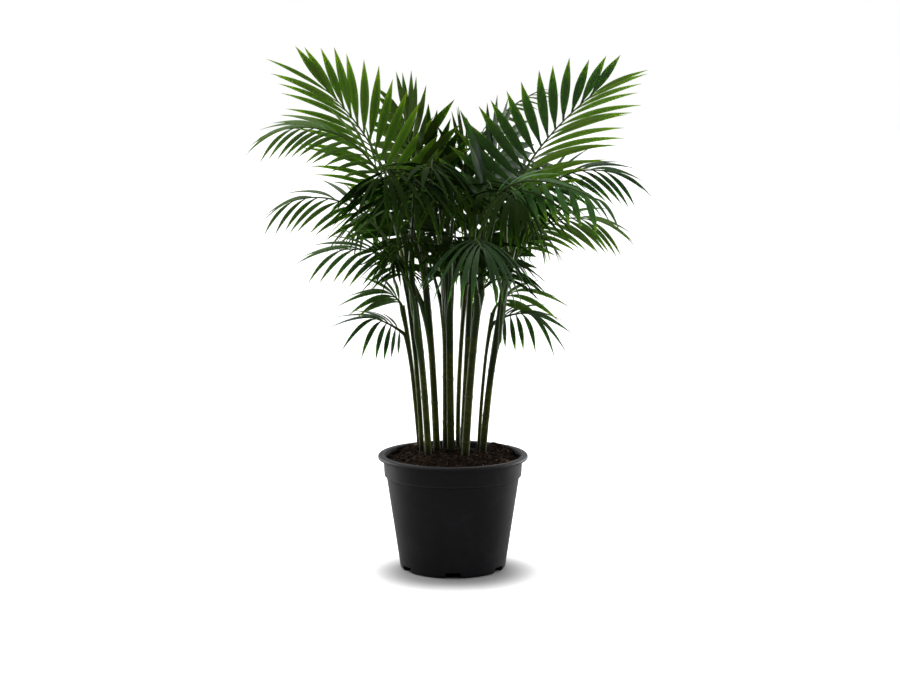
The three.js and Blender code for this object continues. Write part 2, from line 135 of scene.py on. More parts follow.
# A still smaller one, of a few long leaflets.
TUFT = dict(
    tone=1,
    bare=0.35,
    pairs=4,
    low=dict(spread=(50, 8), leaflet=90, width=11, sag=(0.6, 0.9), lift=-10, fade=(0, 1)),
    high=dict(spread=(44, 6), leaflet=68, width=12, sag=(0.8, 1), lift=8, fade=(0, 1)),
)
# A frond inside the crown that shows its face between the others.
INNER = dict(
    bare=0.4,
    pairs=10,
    lift=8,
    width=19,
    low=dict(spread=(60, 20), leaflet=140, sag=(0.45, 0.3)),
    high=dict(spread=(66, 14), leaflet=140, sag=(0.25, 0.1)),
)
FRONDS = {
    # towards the left
    "b1": dict(
        FACING, at=535, via=(-83, 55, 737), tip=(-227, 20, 885), pairs=14, roll=-75, bare=0.33, fresh=1
    ),
    "c1": dict(
        ARCH, at=500, via=(-106, -50, 850), tip=(-292, -80, 822), pairs=12, roll=-34, fresh=0.5, tone=1.25,
        high=dict(spread=(34, 14), leaflet=116, width=11, sag=(0.5, 0.6), lift=12),
    ),
    "d1": dict(
        ARCH, at=470, via=(-145, 40, 732), tip=(-302, 50, 682), pairs=9, roll=-34, fresh=0.5, tone=0.85,
        high=dict(spread=(40, 14), leaflet=115, width=13, sag=(0.7, 0.6), lift=6),
    ),
    "c2": dict(
        ARCH, at=450, via=(-68, -60, 619), tip=(-204, -110, 607), pairs=8, roll=-34, fresh=0.25, tone=1.15
    ),
    "a1": dict(TUFT, at=478, via=(-99, 94, 492), tip=(-116, 90, 504), roll=-34),
    "a2": dict(FAN, at=425, via=(-112, 78, 448), tip=(-146, 62, 461), roll=-34),
    # towards the right
    "k1": dict(
        FACING, at=560, via=(56, 10, 714), tip=(258, 20, 883), pairs=16, roll=75, bare=0.3, tone=1.25,
        low=dict(spread=(34, 6), leaflet=178, width=10.5, sag=(0.6, 0.22), fade=(0.4, 3), fresh=1),
        high=dict(spread=(78, 14), ease=2.5, leaflet=176, width=19, sag=(0.1, 0), fade=(0.45, 1), fresh=0.2),
    ),
    "k2": dict(at=520, via=(110, 120, 720), tip=(170, 217, 740), tone=0.6),
    # h1's high tone is a painted sheen.
    "h1": dict(
        ARCH, at=530, via=(24, -105, 815), tip=(257, -180, 700), roll=34, fresh=0.12, tone=2.1,
        low=dict(spread=(60, 34), leaflet=96, width=13, sag=(0.45, 0.5), lift=-26, fade=(0.25, 1)),
        high=dict(spread=(38, 18), leaflet=84, width=12, sag=(0.7, 0.9), lift=8),
    ),
    "k3": dict(ARCH, at=480, via=(124, 10, 784), tip=(297, -10, 738), roll=34, fresh=0.1),
    "k4": dict(
        ARCH, at=440, via=(106, 0, 690), tip=(262, -40, 653), pairs=12, roll=34, fresh=0.6,
        low=dict(spread=(44, 14), leaflet=98, width=8.5, sag=(0.45, 0.45), lift=-26, fade=(0.1, 2)),
    ),
    "j2": dict(TUFT, at=466, via=(80, 88, 490), tip=(112, 84, 508), roll=34, fresh=0.7),
    "j1": dict(FAN, at=446, via=(98, 68, 472), tip=(140, 50, 472), roll=34),
    # towards the front
    "h2": dict(
        at=500, via=(22, -130, 672), tip=(50, -250, 622), bare=0.6, width=12, lift=-4, sag=(0.85, 0.85),
        fresh=0.1, tone=0.7,
    ),
    "c3": dict(at=560, via=(-66, -110, 790), tip=(-70, -210, 715)),
    "d2": dict(at=560, via=(-112, -90, 805), tip=(-120, -200, 740)),
    "f1": dict(at=515, via=(-40, -40, 840), tip=(-38, -130, 744)),
    "d3": dict(at=500, via=(-66, -70, 668), tip=(-84, -150, 625), leaflet=95, width=9, fresh=0.6),
    "h3": dict(at=570, via=(90, -80, 760), tip=(112, -170, 700)),
    "f2": dict(at=575, via=(5, -20, 750), tip=(6, -110, 712), fresh=1),
    "c4": dict(at=596, via=(-60, -50, 760), tip=(-40, -130, 755)),
    "i4": dict(at=595, via=(50, -20, 770), tip=(70, -110, 715)),
    "b3": dict(at=515, via=(-90, -20, 730), tip=(-125, -90, 735)),
    "f4": dict(at=470, via=(-6, -50, 650), tip=(2, -115, 630), leaflet=105),
    "i6": dict(at=490, via=(36, -10, 640), tip=(30, -100, 615), leaflet=105),
    "b4": dict(at=450, via=(-95, -20, 600), tip=(-110, -120, 592), leaflet=85, width=9),
    "k5": dict(at=415, via=(92, -30, 590), tip=(102, -110, 590), leaflet=85, width=10),
    # upright
    "h4": dict(INNER, at=590, via=(50, 0, 690), tip=(90, 60, 790), roll=75, fresh=0.1, tone=0.8),
    "e1": dict(
        at=560, via=(-10, 110, 810), tip=(165, 150, 885), pairs=16, leaflet=60, width=7, lift=5, tone=0.6
    ),
    "d4": dict(INNER, at=590, via=(-66, 80, 740), tip=(-90, 100, 830), roll=-75, fresh=0.8, tone=0.45),
    "i1": dict(at=560, via=(0, 85, 780), tip=(-10, 214, 785), tone=0.6),
    # inside the crown
    "e5": dict(INNER, at=470, via=(-50, 130, 610), tip=(-110, 150, 690), roll=-75),
    "g4": dict(INNER, at=520, via=(60, 130, 620), tip=(100, 150, 700), roll=75),
    "i5": dict(INNER, at=520, via=(34, 110, 670), tip=(25, 130, 768), roll=60),
    "f3": dict(INNER, at=480, via=(-30, 60, 640), tip=(-50, 80, 765), roll=-75),
    "f5": dict(INNER, at=430, via=(4, 64, 560), tip=(6, 136, 690)),
    "i7": dict(INNER, at=450, via=(60, 100, 560), tip=(76, 130, 672), roll=70),
    # towards the back
    "e2": dict(at=590, via=(-30, 175, 830), tip=(-50, 244, 760), tone=0.6),
    "g1": dict(at=590, via=(50, 175, 830), tip=(90, 246, 738), tone=0.6),
    "e3": dict(at=540, via=(-70, 155, 800), tip=(-120, 250, 700), tone=0.6),
    "i2": dict(at=540, via=(90, 150, 800), tip=(130, 228, 715), tone=0.6),
    "g2": dict(at=500, via=(50, 180, 660), tip=(70, 260, 600), tone=0.6),
    "e4": dict(at=490, via=(-30, 180, 660), tip=(-60, 252, 600), tone=0.6),
    "g5": dict(at=470, via=(12, 150, 590), tip=(14, 210, 565), leaflet=95, tone=0.6),
    "i3": dict(at=596, via=(110, 110, 700), tip=(150, 220, 630), tone=0.6),
    "g3": dict(at=570, via=(95, 110, 740), tip=(160, 140, 750), tone=0.6),
    "b2": dict(at=560, via=(-120, 120, 720), tip=(-160, 210, 640), tone=0.6),
}

# What all leaflets share.
STAGGER = 0.35  # how far one side's leaflets sit behind the other's, in pairs
FIRST_SHORT, SHORT_POWER = 0.2, 6  # how much shorter the first leaflets are, and how soon that ends
END_NARROW = 0.2  # how much narrower the first and last are
WOBBLE = dict(spread=3, lift=4, twist=9, length=0.05)  # how far they differ: degrees, and a share
TURNS = (0, 9, -9, 18, -18, 27, -27, 38, -38)  # degrees a leaflet may turn aside to find room
KEEL_AT, KEEL_HIGH = 0.42, 1.2 * MM  # where the frame's leaflets have their keel's corner
CORNER_FIT = 0.5 * MM  # how near a leaflet's tip or keel lies to a corner of the frame's frond
# Fronds darker than this by their painted tone are in painted shade, and get leaves without sheen.
DULL_BELOW = 0.5  # fronds of a darker tone than this have dull leaves

# What all stalks share.
STALK_OFFSET = 0.6  # the stalk starts this share of the cane's radius out of its middle
STALK_ROOT, STALK_TIP, STALK_POWER = 4.2 * MM, 1.0 * MM, 0.7  # radii, and how soon it narrows
STALK_STEPS = 24
SHEATH = 70 * MM  # how far the leaf base wraps the cane below the stalk
SHEATH_STEPS, SHEATH_SHARE, SHEATH_SWELL = 4, 0.85, 1.06  # its points, the share they span, its swell
FLARE = 0.22  # the share of the stalk over which it narrows from the sheath


# ---------------------------------------------------------------- settings
def size_setting(name, description, default):
    return FloatProperty(name=name, description=description, default=default, unit="LENGTH")


def share_setting(name, description, default):
    return FloatProperty(name=name, description=description, default=default, subtype="FACTOR")


def count_setting(name, description, default):
    return IntProperty(name=name, description=description, default=default)


def colour_setting(name, description, default):
    return FloatVectorProperty(name=name, description=description, default=default, subtype="COLOR")


class PalmPotSettings(bpy.types.PropertyGroup):
    """The nursery pot's sizes and colour."""

    height: size_setting("Height", "Floor to rim", POT_HIGH.z)
    rim_radius: size_setting("Rim Radius", "Radius over the rolled rim", POT_HIGH.x)
    rim_height: size_setting("Rim Height", "Height of the rolled rim", 0.008)
    mouth_radius: size_setting("Mouth Radius", "Radius inside the rim", 0.127)
    collar_radius: size_setting("Collar Radius", "Radius under the rim", 0.13)
    collar_height: size_setting("Collar Height", "Height of the upright collar", 0.031)
    step: size_setting("Step", "How far the wall steps in under the collar", 0.006)
    foot_radius: size_setting("Foot Radius", "Radius at the foot", 0.098)
    wall: size_setting("Wall", "Wall thickness", 0.0024)
    lift: size_setting("Base Lift", "Base plate above the floor", 0.011)
    notches: count_setting("Notches", "Notches and drain holes in the foot", 6)
    colour: colour_setting("Colour", "Moulded plastic", (0.0074, 0.0074, 0.0092))


class PalmSoilSettings(bpy.types.PropertyGroup):
    """The potting soil's heights, colours and loose pieces."""

    edge: size_setting("Edge", "Height of the soil at the pot's wall", 0.201)
    mound: size_setting("Mound", "Height of the soil at the canes", SOIL_MOUND * MM)
    crumbs: count_setting("Crumbs", "Crumbs per square metre", 26000)
    chips: count_setting("Bark Chips", "Bark chips per square metre", 7000)
    fibres: count_setting("Fibres", "Root fibres per square metre", 2600)
    seed: count_setting("Seed", "Where the loose pieces fall", 4)
    dark: colour_setting("Dark", "Moist peat", (0.0045, 0.0032, 0.0020))
    bark: colour_setting("Bark", "Bark and dry peat", (0.046, 0.027, 0.016))


class PalmCaneSettings(bpy.types.PropertyGroup):
    """The canes' scars and colours."""

    sides: count_setting("Sides", "Faces around a cane", 20)
    scar_swell: share_setting("Scar Swell", "How much thicker a cane is at a scar", 0.1)
    green: colour_setting("Green", "Smooth cane", (0.033, 0.046, 0.007))
    olive: colour_setting("Olive", "Older, yellower cane", (0.090, 0.108, 0.014))
    scar: colour_setting("Scar", "Corky old leaf scar", (0.11, 0.10, 0.055))
    # Painted shade and peat: the colour and height of the darkening on a cane's foot near the soil.
    foot_shade_and_peat: colour_setting("Dirt", "Peat on the cane's foot", (0.010, 0.009, 0.005))
    shade_and_peat_height: size_setting("Dirt Height", "How far peat clings above the soil", 0.035)


class PalmFrondSettings(bpy.types.PropertyGroup):
    """The leaflets' section and colours."""

    thickness: size_setting("Leaf Thickness", "Leaflet thickness", 0.0007)
    fold: share_setting("Fold", "How far a leaflet's edges lie below its keel", 0.22)
    segments: count_setting("Segments", "Faces along a leaflet", 10)
    fresh: colour_setting("Fresh", "Fresh leaf", (0.108, 0.190, 0.021))
    old: colour_setting("Old", "Older, bluish leaf", (0.018, 0.048, 0.021))
    rib: colour_setting("Rib", "Middle rib and stalk", (0.060, 0.105, 0.030))
    underside: colour_setting("Underside", "Duller face below", (0.034, 0.064, 0.026))


class PalmStageSettings(bpy.types.PropertyGroup):
    """The camera, the floor and the lights."""

    camera_distance: size_setting("Camera Distance", "Camera in front of the pot", 3.9)
    camera_height: size_setting("Camera Height", "Camera above the floor", 0.97)
    camera_aside: size_setting("Camera Aside", "Camera beside the middle", -0.0055)
    camera_pitch: FloatProperty(
        name="Camera Pitch",
        description="How far the camera looks down",
        default=math.radians(7.83),
        subtype="ANGLE",
    )
    lens: FloatProperty(name="Lens", description="Focal length", default=85, unit="CAMERA")
    # Where the shadow painted on the floor round the pot ends
    painted_shadow_radius: size_setting("Shadow Radius", "Where the shadow round the pot ends", 0.19)


class PottedPalmSettings(bpy.types.PropertyGroup):
    """All of the palm's settings."""

    pot: PointerProperty(type=PalmPotSettings)
    soil: PointerProperty(type=PalmSoilSettings)
    canes: PointerProperty(type=PalmCaneSettings)
    fronds: PointerProperty(type=PalmFrondSettings)
    stage: PointerProperty(type=PalmStageSettings)


# ---------------------------------------------------------------- node trees
def socket_of(sockets, key):
    """A socket by its place, or by its name among those in use."""
    if isinstance(key, int):
        return sockets[key]
    return next(socket for socket in sockets if socket.name == key and socket.enabled)


class Graph:
    """Adds nodes to a tree. A value given to an input is a constant or another node's output."""

    def __init__(self, tree):
        self.tree = tree

    def plug(self, value, socket):
        if isinstance(value, bpy.types.Node):
            value = next(output for output in value.outputs if output.enabled)
        if isinstance(value, bpy.types.NodeSocket):
            self.tree.links.new(value, socket)
        else:
            socket.default_value = value

    def add(self, kind, inputs=None, **settings):
        node = self.tree.nodes.new(kind)
        for name, value in settings.items():
            setattr(node, name, value)
        for key, value in (inputs or {}).items():
            self.plug(value, socket_of(node.inputs, key))
        return node

    def math(self, operation, *values):
        return self.add("ShaderNodeMath", dict(enumerate(values)), operation=operation).outputs[0]

    def times(self, a, b):
        return self.math("MULTIPLY", a, b)

    def both(self, a, a_share, b, b_share):
        """Two values added, each by its share."""
        return self.math("MULTIPLY_ADD", a, a_share, self.times(b, b_share))

    def vector(self, operation, *values):
        node = self.add("ShaderNodeVectorMath", dict(enumerate(values)), operation=operation)
        return next(output for output in node.outputs if output.enabled)

    def scaled(self, vector, factor):
        return self.add("ShaderNodeVectorMath", {0: vector, "Scale": factor}, operation="SCALE").outputs[0]

    def ranged(self, value, low, high, new_low=0.0, new_high=1.0, smooth=True):
        """A value taken from one range to another, and held inside it."""
        kind = "SMOOTHSTEP" if smooth else "LINEAR"
        inputs = {"Value": value, "From Min": low, "From Max": high, "To Min": new_low, "To Max": new_high}
        return self.add("ShaderNodeMapRange", inputs, interpolation_type=kind).outputs[0]

    def mixed(self, factor, a, b, blend="MIX"):
        """Two colours mixed by a factor."""
        inputs = {"Factor": factor, "A": a, "B": b}
        node = self.add("ShaderNodeMix", inputs, data_type="RGBA", blend_type=blend)
        return socket_of(node.outputs, "Result")

    def noise(self, place, scale, detail=2.0, roughness=0.5):
        inputs = {"Vector": place, "Scale": scale, "Detail": detail, "Roughness": roughness}
        return self.add("ShaderNodeTexNoise", inputs).outputs["Fac"]


def opaque(colour):
    """A colour setting as the four numbers that a colour socket takes."""
    return (*colour, 1.0)


def new_group(name, kind, inputs, output, output_kind):
    """An empty group with one output: the tree, its graph, its inputs and its output.
    Each input has its default value, or the name of its kind where it has none."""
    tree = bpy.data.node_groups.new(name, kind)
    for label, default in inputs.items():
        input_kind = {float: "Float", int: "Int", str: default}[type(default)]
        item = tree.interface.new_socket(label, in_out="INPUT", socket_type="NodeSocket" + input_kind)
        if input_kind != default:
            item.default_value = default
    tree.interface.new_socket(output, in_out="OUTPUT", socket_type="NodeSocket" + output_kind)
    given, made = tree.nodes.new("NodeGroupInput"), tree.nodes.new("NodeGroupOutput")
    return tree, Graph(tree), given.outputs, made.inputs[output]


def geometry_group(name, inputs):
    """A geometry tree for a modifier, from Geometry to Geometry."""
    inputs = {"Geometry": "Geometry", **inputs}
    tree, graph, given, out = new_group(name, "GeometryNodeTree", inputs, "Geometry", "Geometry")
    tree.is_modifier = True
    return tree, graph, given, out


def finished(graph, geometry, material, out):
    """Ends a geometry tree with real geometry that has its material."""
    real = graph.add("GeometryNodeRealizeInstances", {"Geometry": geometry})
    graph.plug(graph.add("GeometryNodeSetMaterial", {"Geometry": real, "Material": material}), out)


def named(graph, name, kind="FLOAT"):
    """A named attribute's value in a geometry tree."""
    return graph.add("GeometryNodeInputNamedAttribute", {"Name": name}, data_type=kind).outputs["Attribute"]


def chance(graph, low, high, seed, kind="FLOAT"):
    """A random value for each point or instance of a geometry tree."""
    inputs = {"Min": low, "Max": high, "Seed": seed}
    return graph.add("FunctionNodeRandomValue", inputs, data_type=kind)


def stored(graph, geometry, name, value, kind="FLOAT", domain="POINT"):
    """The geometry with a value stored on it under a name."""
    inputs = {"Geometry": geometry, "Name": name, "Value": value}
    return graph.add("GeometryNodeStoreNamedAttribute", inputs, data_type=kind, domain=domain)


def smoothed(graph, geometry, angle):
    """The geometry with smooth faces, and sharp edges where they meet at more than an angle."""
    faces = graph.add("GeometryNodeSetShadeSmooth", {"Geometry": geometry, "Shade Smooth": True})
    edge = graph.add("GeometryNodeInputMeshEdgeAngle").outputs["Unsigned Angle"]
    soft = graph.add("FunctionNodeCompare", {0: edge, 1: angle}, operation="LESS_THAN")
    return graph.add("GeometryNodeSetShadeSmooth", {"Geometry": faces, "Shade Smooth": soft}, domain="EDGE")


def circle(graph, sides, radius=1.0):
    """A round section for a tube."""
    inputs = {"Resolution": sides, "Radius": radius}
    return graph.add("GeometryNodeCurvePrimitiveCircle", inputs).outputs["Curve"]


def tube(graph, line, section, sharp_angle, scale=1.0):
    """A tube with closed ends along a curve."""
    inputs = {"Curve": line, "Profile Curve": section, "Scale": scale, "Fill Caps": True}
    return smoothed(graph, graph.add("GeometryNodeCurveToMesh", inputs), sharp_angle)


def baked(obj, tree, values, keep):
    """Runs a geometry tree on an object and makes its result the object's plain mesh.
    keep names the attributes that the materials read."""
    modifier = obj.modifiers.new(tree.name, "NODES")
    modifier.node_group = tree
    for item in tree.interface.items_tree:
        if item.in_out == "INPUT" and item.name in values:
            modifier[item.identifier] = values[item.name]
    bpy.context.view_layer.update()
    shown = obj.evaluated_get(bpy.context.evaluated_depsgraph_get())
    mesh = bpy.data.meshes.new_from_object(shown)
    obj.modifiers.remove(modifier)
    old, obj.data = obj.data, mesh
    bpy.data.meshes.remove(old)
    mesh.name = obj.name
    builtin = {"position", "sharp_edge", "sharp_face", "material_index"}
    for attribute in [a for a in mesh.attributes if not a.name.startswith(".")]:
        if attribute.name not in builtin and attribute.name not in keep:
            mesh.attributes.remove(attribute)


# ---------------------------------------------------------------- meshes
def new_object(name, mesh):
    obj = bpy.data.objects.new(name, mesh)
    bpy.context.scene.collection.objects.link(obj)
    return obj


def mesh_of(name, points, edges=(), faces=()):
    mesh = bpy.data.meshes.new(name)
    mesh.from_pydata(points, edges, faces)
    mesh.update()
    return mesh


def object_of(name, work):
    """A new object with the mesh that was worked on."""
    mesh = bpy.data.meshes.new(name)
    work.to_mesh(mesh)
    work.free()
    return new_object(name, mesh)


def give(mesh, name, kind, values):
    """Stores one value for each point of a mesh."""
    attribute = mesh.attributes.new(name, kind, "POINT")
    field = "vector" if kind == "FLOAT_VECTOR" else "value"
    flat = [number for value in values for number in value] if field == "vector" else values
    attribute.data.foreach_set(field, flat)


def settle(obj, node):
    """A finished piece stands for its CAD node and rides on the body."""
    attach(obj, BODY)
    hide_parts(node)


def rounded(corners, steps=5):
    """An outline of (radius, height, rounding) corners as points, with an arc at each rounding."""
    points = []
    for i, (r, z, size) in enumerate(corners):
        here = Vector((r, z))
        if not size:
            points.append(here)
            continue
        before = Vector(corners[i - 1][:2]) - here
        after = Vector(corners[(i + 1) % len(corners)][:2]) - here
        half = before.angle(after) / 2
        reach = size / math.tan(half)
        middle = here + (before.normalized() + after.normalized()).normalized() * size / math.sin(half)
        start = here + before.normalized() * reach - middle
        end = here + after.normalized() * reach - middle
        turn = start.angle_signed(end)
        for step in range(steps + 1):
            points.append(middle + Matrix.Rotation(-turn * step / steps, 2) @ start)
    return points


def turned(outline, sides):
    """The points and faces of a closed solid turned about Z. Its outline of (radius, height) starts and
    ends on the axis."""
    on_axis = 1e-6
    points, faces, rows = [], [], []
    for r, z in outline:
        if r < on_axis:
            rows.append([len(points)] * sides)
            points.append((0, 0, z))
            continue
        rows.append(list(range(len(points), len(points) + sides)))
        for i in range(sides):
            angle = 2 * math.pi * i / sides
            points.append((r * math.cos(angle), r * math.sin(angle), z))
    for low, high in zip(rows, rows[1:]):
        for i in range(sides):
            j = (i + 1) % sides
            faces.append(tuple(dict.fromkeys((low[i], low[j], high[j], high[i]))))
    return points, faces


# ---------------------------------------------------------------- shared shader effects
def shared_group(name, build):
    """A shader node group, built the first time it is asked for."""
    return bpy.data.node_groups.get(name) or build(name)


def build_mottle(name):
    """Soft, uneven patches of two sizes: 0 to 1."""
    inputs = {"Place": "Vector", "Scale": 10.0, "Contrast": 1.0}
    tree, graph, given, out = new_group(name, "ShaderNodeTree", inputs, "Value", "Float")
    wide = graph.noise(given["Place"], given["Scale"], detail=3.0, roughness=0.6)
    fine = graph.noise(given["Place"], graph.times(given["Scale"], 6.0))
    patches = graph.both(fine, 0.3, wide, 0.7)
    centred = graph.times(graph.math("SUBTRACT", patches, 0.5), given["Contrast"])
    graph.plug(graph.math("ADD", centred, 0.5), out)
    return tree


def build_lines(name):
    """Fine lines side by side across a leaf or round a cane: 0 to 1."""
    inputs = {"Across": 0.0, "Along": 0.0, "Seed": 0.0, "Count": 20.0, "Drift": 1.0}
    tree, graph, given, out = new_group(name, "ShaderNodeTree", inputs, "Value", "Float")
    place = {
        "X": graph.times(given["Across"], given["Count"]),
        "Y": graph.times(given["Along"], given["Drift"]),
        "Z": graph.times(given["Seed"], 40.0),
    }
    graph.plug(graph.noise(graph.add("ShaderNodeCombineXYZ", place), scale=1.0, roughness=0.6), out)
    return tree


def placed(graph, name, build, inputs):
    """A shared group in a material, and its one output."""
    node = graph.add("ShaderNodeGroup", node_tree=shared_group(name, build))
    for key, value in inputs.items():
        graph.plug(value, node.inputs[key])
    return node.outputs[0]


def mottled(graph, place, scale, contrast):
    inputs = {"Place": place, "Scale": scale, "Contrast": contrast}
    return placed(graph, "Mottle", build_mottle, inputs)


def lined(graph, across, along, seed, count, drift):
    inputs = {"Across": across, "Along": along, "Seed": seed, "Count": count, "Drift": drift}
    return placed(graph, "Fine lines", build_lines, inputs)


def roughness_from(graph, mottle, smooth, rough):
    """A roughness that is uneven with the mottle."""
    return graph.ranged(mottle, 0.2, 0.8, smooth, rough)


def new_material(name, specular):
    """A material with one Principled shader: the material, its graph and the shader."""
    material = bpy.data.materials.new(name)
    material.use_nodes = True
    graph = Graph(material.node_tree)
    shader = material.node_tree.nodes["Principled BSDF"]
    shader.inputs["Specular IOR Level"].default_value = specular
    return material, graph, shader


def object_place(graph):
    return graph.add("ShaderNodeTexCoord").outputs["Object"]


def attribute_of(graph, name):
    return graph.add("ShaderNodeAttribute", attribute_name=name).outputs["Fac"]


def bumped(graph, shader, height, distance, strength):
    inputs = {"Height": height, "Distance": distance, "Strength": strength}
    graph.plug(graph.add("ShaderNodeBump", inputs).outputs["Normal"], shader.inputs["Normal"])


# ---------------------------------------------------------------- pot
def pot_material(settings):
    material, graph, shader = new_material("Black nursery plastic", specular=0.32)
    place = object_place(graph)
    mottle = mottled(graph, place, scale=14.0, contrast=1.4)
    # The second, much lighter colour is a painted highlight for the edge under the collar.
    dull, painted_highlight_colour = (tuple(factor * c for c in settings.colour) for factor in (2.2, 8))
    colour = graph.mixed(graph.ranged(mottle, 0.35, 0.9), opaque(settings.colour), opaque(dull))
    height = graph.add("ShaderNodeSeparateXYZ", {"Vector": place}).outputs["Z"]
    rim_foot = settings.height - settings.rim_height
    # A highlight is painted along the edge under the collar, patchy with the mottle, and hands have dulled
    # the rim.
    from_lip = graph.math("ABSOLUTE", graph.math("SUBTRACT", height, rim_foot - settings.collar_height))
    # Painted highlight: a thin light line at the collar's lower edge.
    painted_highlight_mask = graph.times(graph.ranged(from_lip, 0.0005, 0.0015, 1.0, 0.0), mottle)
    graph.plug(graph.mixed(painted_highlight_mask, colour, opaque(painted_highlight_colour)), shader.inputs["Base Color"])
    handled = graph.ranged(height, rim_foot, rim_foot + 0.003, 0.0, 0.3)
    roughness = graph.math("ADD", roughness_from(graph, mottle, smooth=0.28, rough=0.42), handled)
    graph.plug(roughness, shader.inputs["Roughness"])
    grain = graph.noise(place, scale=900.0)
    streaks = graph.noise(graph.vector("MULTIPLY", place, (90.0, 90.0, 3.0)), scale=1.0, detail=3.0)
    relief = graph.both(grain, 0.35, streaks, 0.65)
    bumped(graph, shader, relief, distance=0.0004, strength=0.35)
    return material


def pot_outline(settings):
    """From the middle of the base's underside, up the outside and down the inside. The third number of
    a corner is its rounding."""
    s = settings
    ring_width, ring_slope = 0.0104, 0.002  # of the ring that the pot stands on
    draft = 0.002  # how much wider the collar is at the rim
    lip, inner_lip = 0.003, 0.004  # height of the slope under the collar, outside and inside
    rim_foot = s.height - s.rim_height
    collar_foot = rim_foot - s.collar_height
    body_top = s.collar_radius - s.step
    floor = s.lift + s.wall
    return rounded(
        [
            (0, s.lift, 0),
            (s.foot_radius - ring_width - ring_slope, s.lift, 0.001),
            (s.foot_radius - ring_width, 0, 0.0008),
            (s.foot_radius, 0, 0.006),
            (body_top, collar_foot - lip, 0.0015),
            (s.collar_radius - draft, collar_foot, 0.0011),
            (s.collar_radius, rim_foot, 0.0018),
            (s.rim_radius, rim_foot, 0.0028),
            (s.rim_radius, s.height, 0.0042),
            (s.mouth_radius, s.height, 0.0028),
            (s.collar_radius - draft - s.wall, collar_foot + s.wall, 0.001),
            (body_top - s.wall, collar_foot - inner_lip, 0.001),
            (s.foot_radius - s.wall, floor, 0.003),
            (0, floor, 0),
        ]
    )


def pot_cutters(settings):
    """The blocks and rods that cut the foot's notches and the drain holes."""
    width, height, depth, corner = 0.028, 0.0108, 0.028, 0.0022
    drain_radius, drain_depth, drain_reach = 0.006, 0.02, 0.074
    along_spoke = 0.9  # how nearly an edge runs outwards to be one that is rounded
    work = bmesh.new()
    for i in range(settings.notches):
        turn = Matrix.Rotation(-math.pi / 2 + 2 * math.pi * i / settings.notches, 4, "Z")
        size = Matrix.Diagonal((depth, width, 2 * height, 1))
        block = turn @ Matrix.Translation((settings.foot_radius, 0, 0)) @ size
        made = bmesh.ops.create_cube(work, size=1, matrix=block)
        outward = turn @ Vector((1, 0, 0))
        top_edges = []
        for edge in dict.fromkeys(edge for vert in made["verts"] for edge in vert.link_edges):
            first, second = (vert.co for vert in edge.verts)
            if first.z > 0 and abs((first - second).normalized().dot(outward)) > along_spoke:
                top_edges.append(edge)
        bmesh.ops.bevel(work, geom=top_edges, offset=corner, segments=4, affect="EDGES", profile=0.5)
        drain = turn @ Matrix.Translation((drain_reach, 0, settings.lift))
        radii = dict(radius1=drain_radius, radius2=drain_radius)
        bmesh.ops.create_cone(work, cap_ends=True, segments=24, depth=drain_depth, matrix=drain, **radii)
    return object_of("pot_cutters", work)


def make_pot(settings):
    points, faces = turned(pot_outline(settings), sides=144)
    pot = new_object("palm_pot", mesh_of("palm_pot", points, faces=faces))
    cutters = pot_cutters(settings)
    cut = pot.modifiers.new("Cut", "BOOLEAN")
    cut.object, cut.operation, cut.solver = cutters, "DIFFERENCE", "EXACT"
    shown = pot.evaluated_get(bpy.context.evaluated_depsgraph_get())
    mesh = bpy.data.meshes.new_from_object(shown)
    pot.modifiers.remove(cut)
    pot.data = mesh
    bpy.data.objects.remove(cutters)
    mesh.shade_smooth()
    mesh.set_sharp_from_angle(angle=math.radians(32))
    mesh.materials.clear()
    mesh.materials.append(pot_material(settings))
    settle(pot, "pot")


# ---------------------------------------------------------------- soil
def soil_material(settings):
    material, graph, shader = new_material("Potting soil", specular=0.05)
    place = object_place(graph)
    mottle = mottled(graph, place, scale=60.0, contrast=1.8)
    shade = attribute_of(graph, "shade")
    share = graph.ranged(graph.both(shade, 0.7, mottle, 0.5), 0.3, 1.0)
    colour = graph.mixed(share, opaque(settings.dark), opaque(settings.bark))
    straw = tuple(3.2 * c for c in settings.bark)
    colour = graph.mixed(graph.ranged(shade, 0.93, 0.98), colour, opaque(straw))
    graph.plug(colour, shader.inputs["Base Color"])
    graph.plug(roughness_from(graph, mottle, smooth=0.75, rough=1.0), shader.inputs["Roughness"])
    relief = graph.noise(place, scale=700.0, detail=4.0, roughness=0.7)
    bumped(graph, shader, relief, distance=0.0012, strength=0.8)
    return material


def soil_height(settings, x, y):
    """The soil's surface: a low mound, lumpy, and heaped against the wall in two places at the back."""
    mound_radius, level_share = 0.127, 0.3
    share = min(1.0, math.hypot(x, y) / mound_radius)
    fall = max(0.0, (share - level_share) / (1 - level_share))
    height = settings.mound + (settings.edge - settings.mound) * fall * fall * (3 - 2 * fall)
    for heap_x, heap_y, reach, rise in ((-0.080, 0.090, 0.026, 0.014), (0.086, 0.086, 0.034, 0.017)):
        height += rise * math.exp(-((x - heap_x) ** 2 + (y - heap_y) ** 2) / reach**2)
    place = Vector((x, y, 0))
    lump_height, crumb_height = 0.0028, 0.0016
    lumps = noise.fractal(place * 42, 1.0, 2.0, 3) * lump_height
    crumbs = noise.fractal(place * 150 + Vector((7, 0, 0)), 0.8, 2.0, 3) * crumb_height
    return height + lumps + crumbs


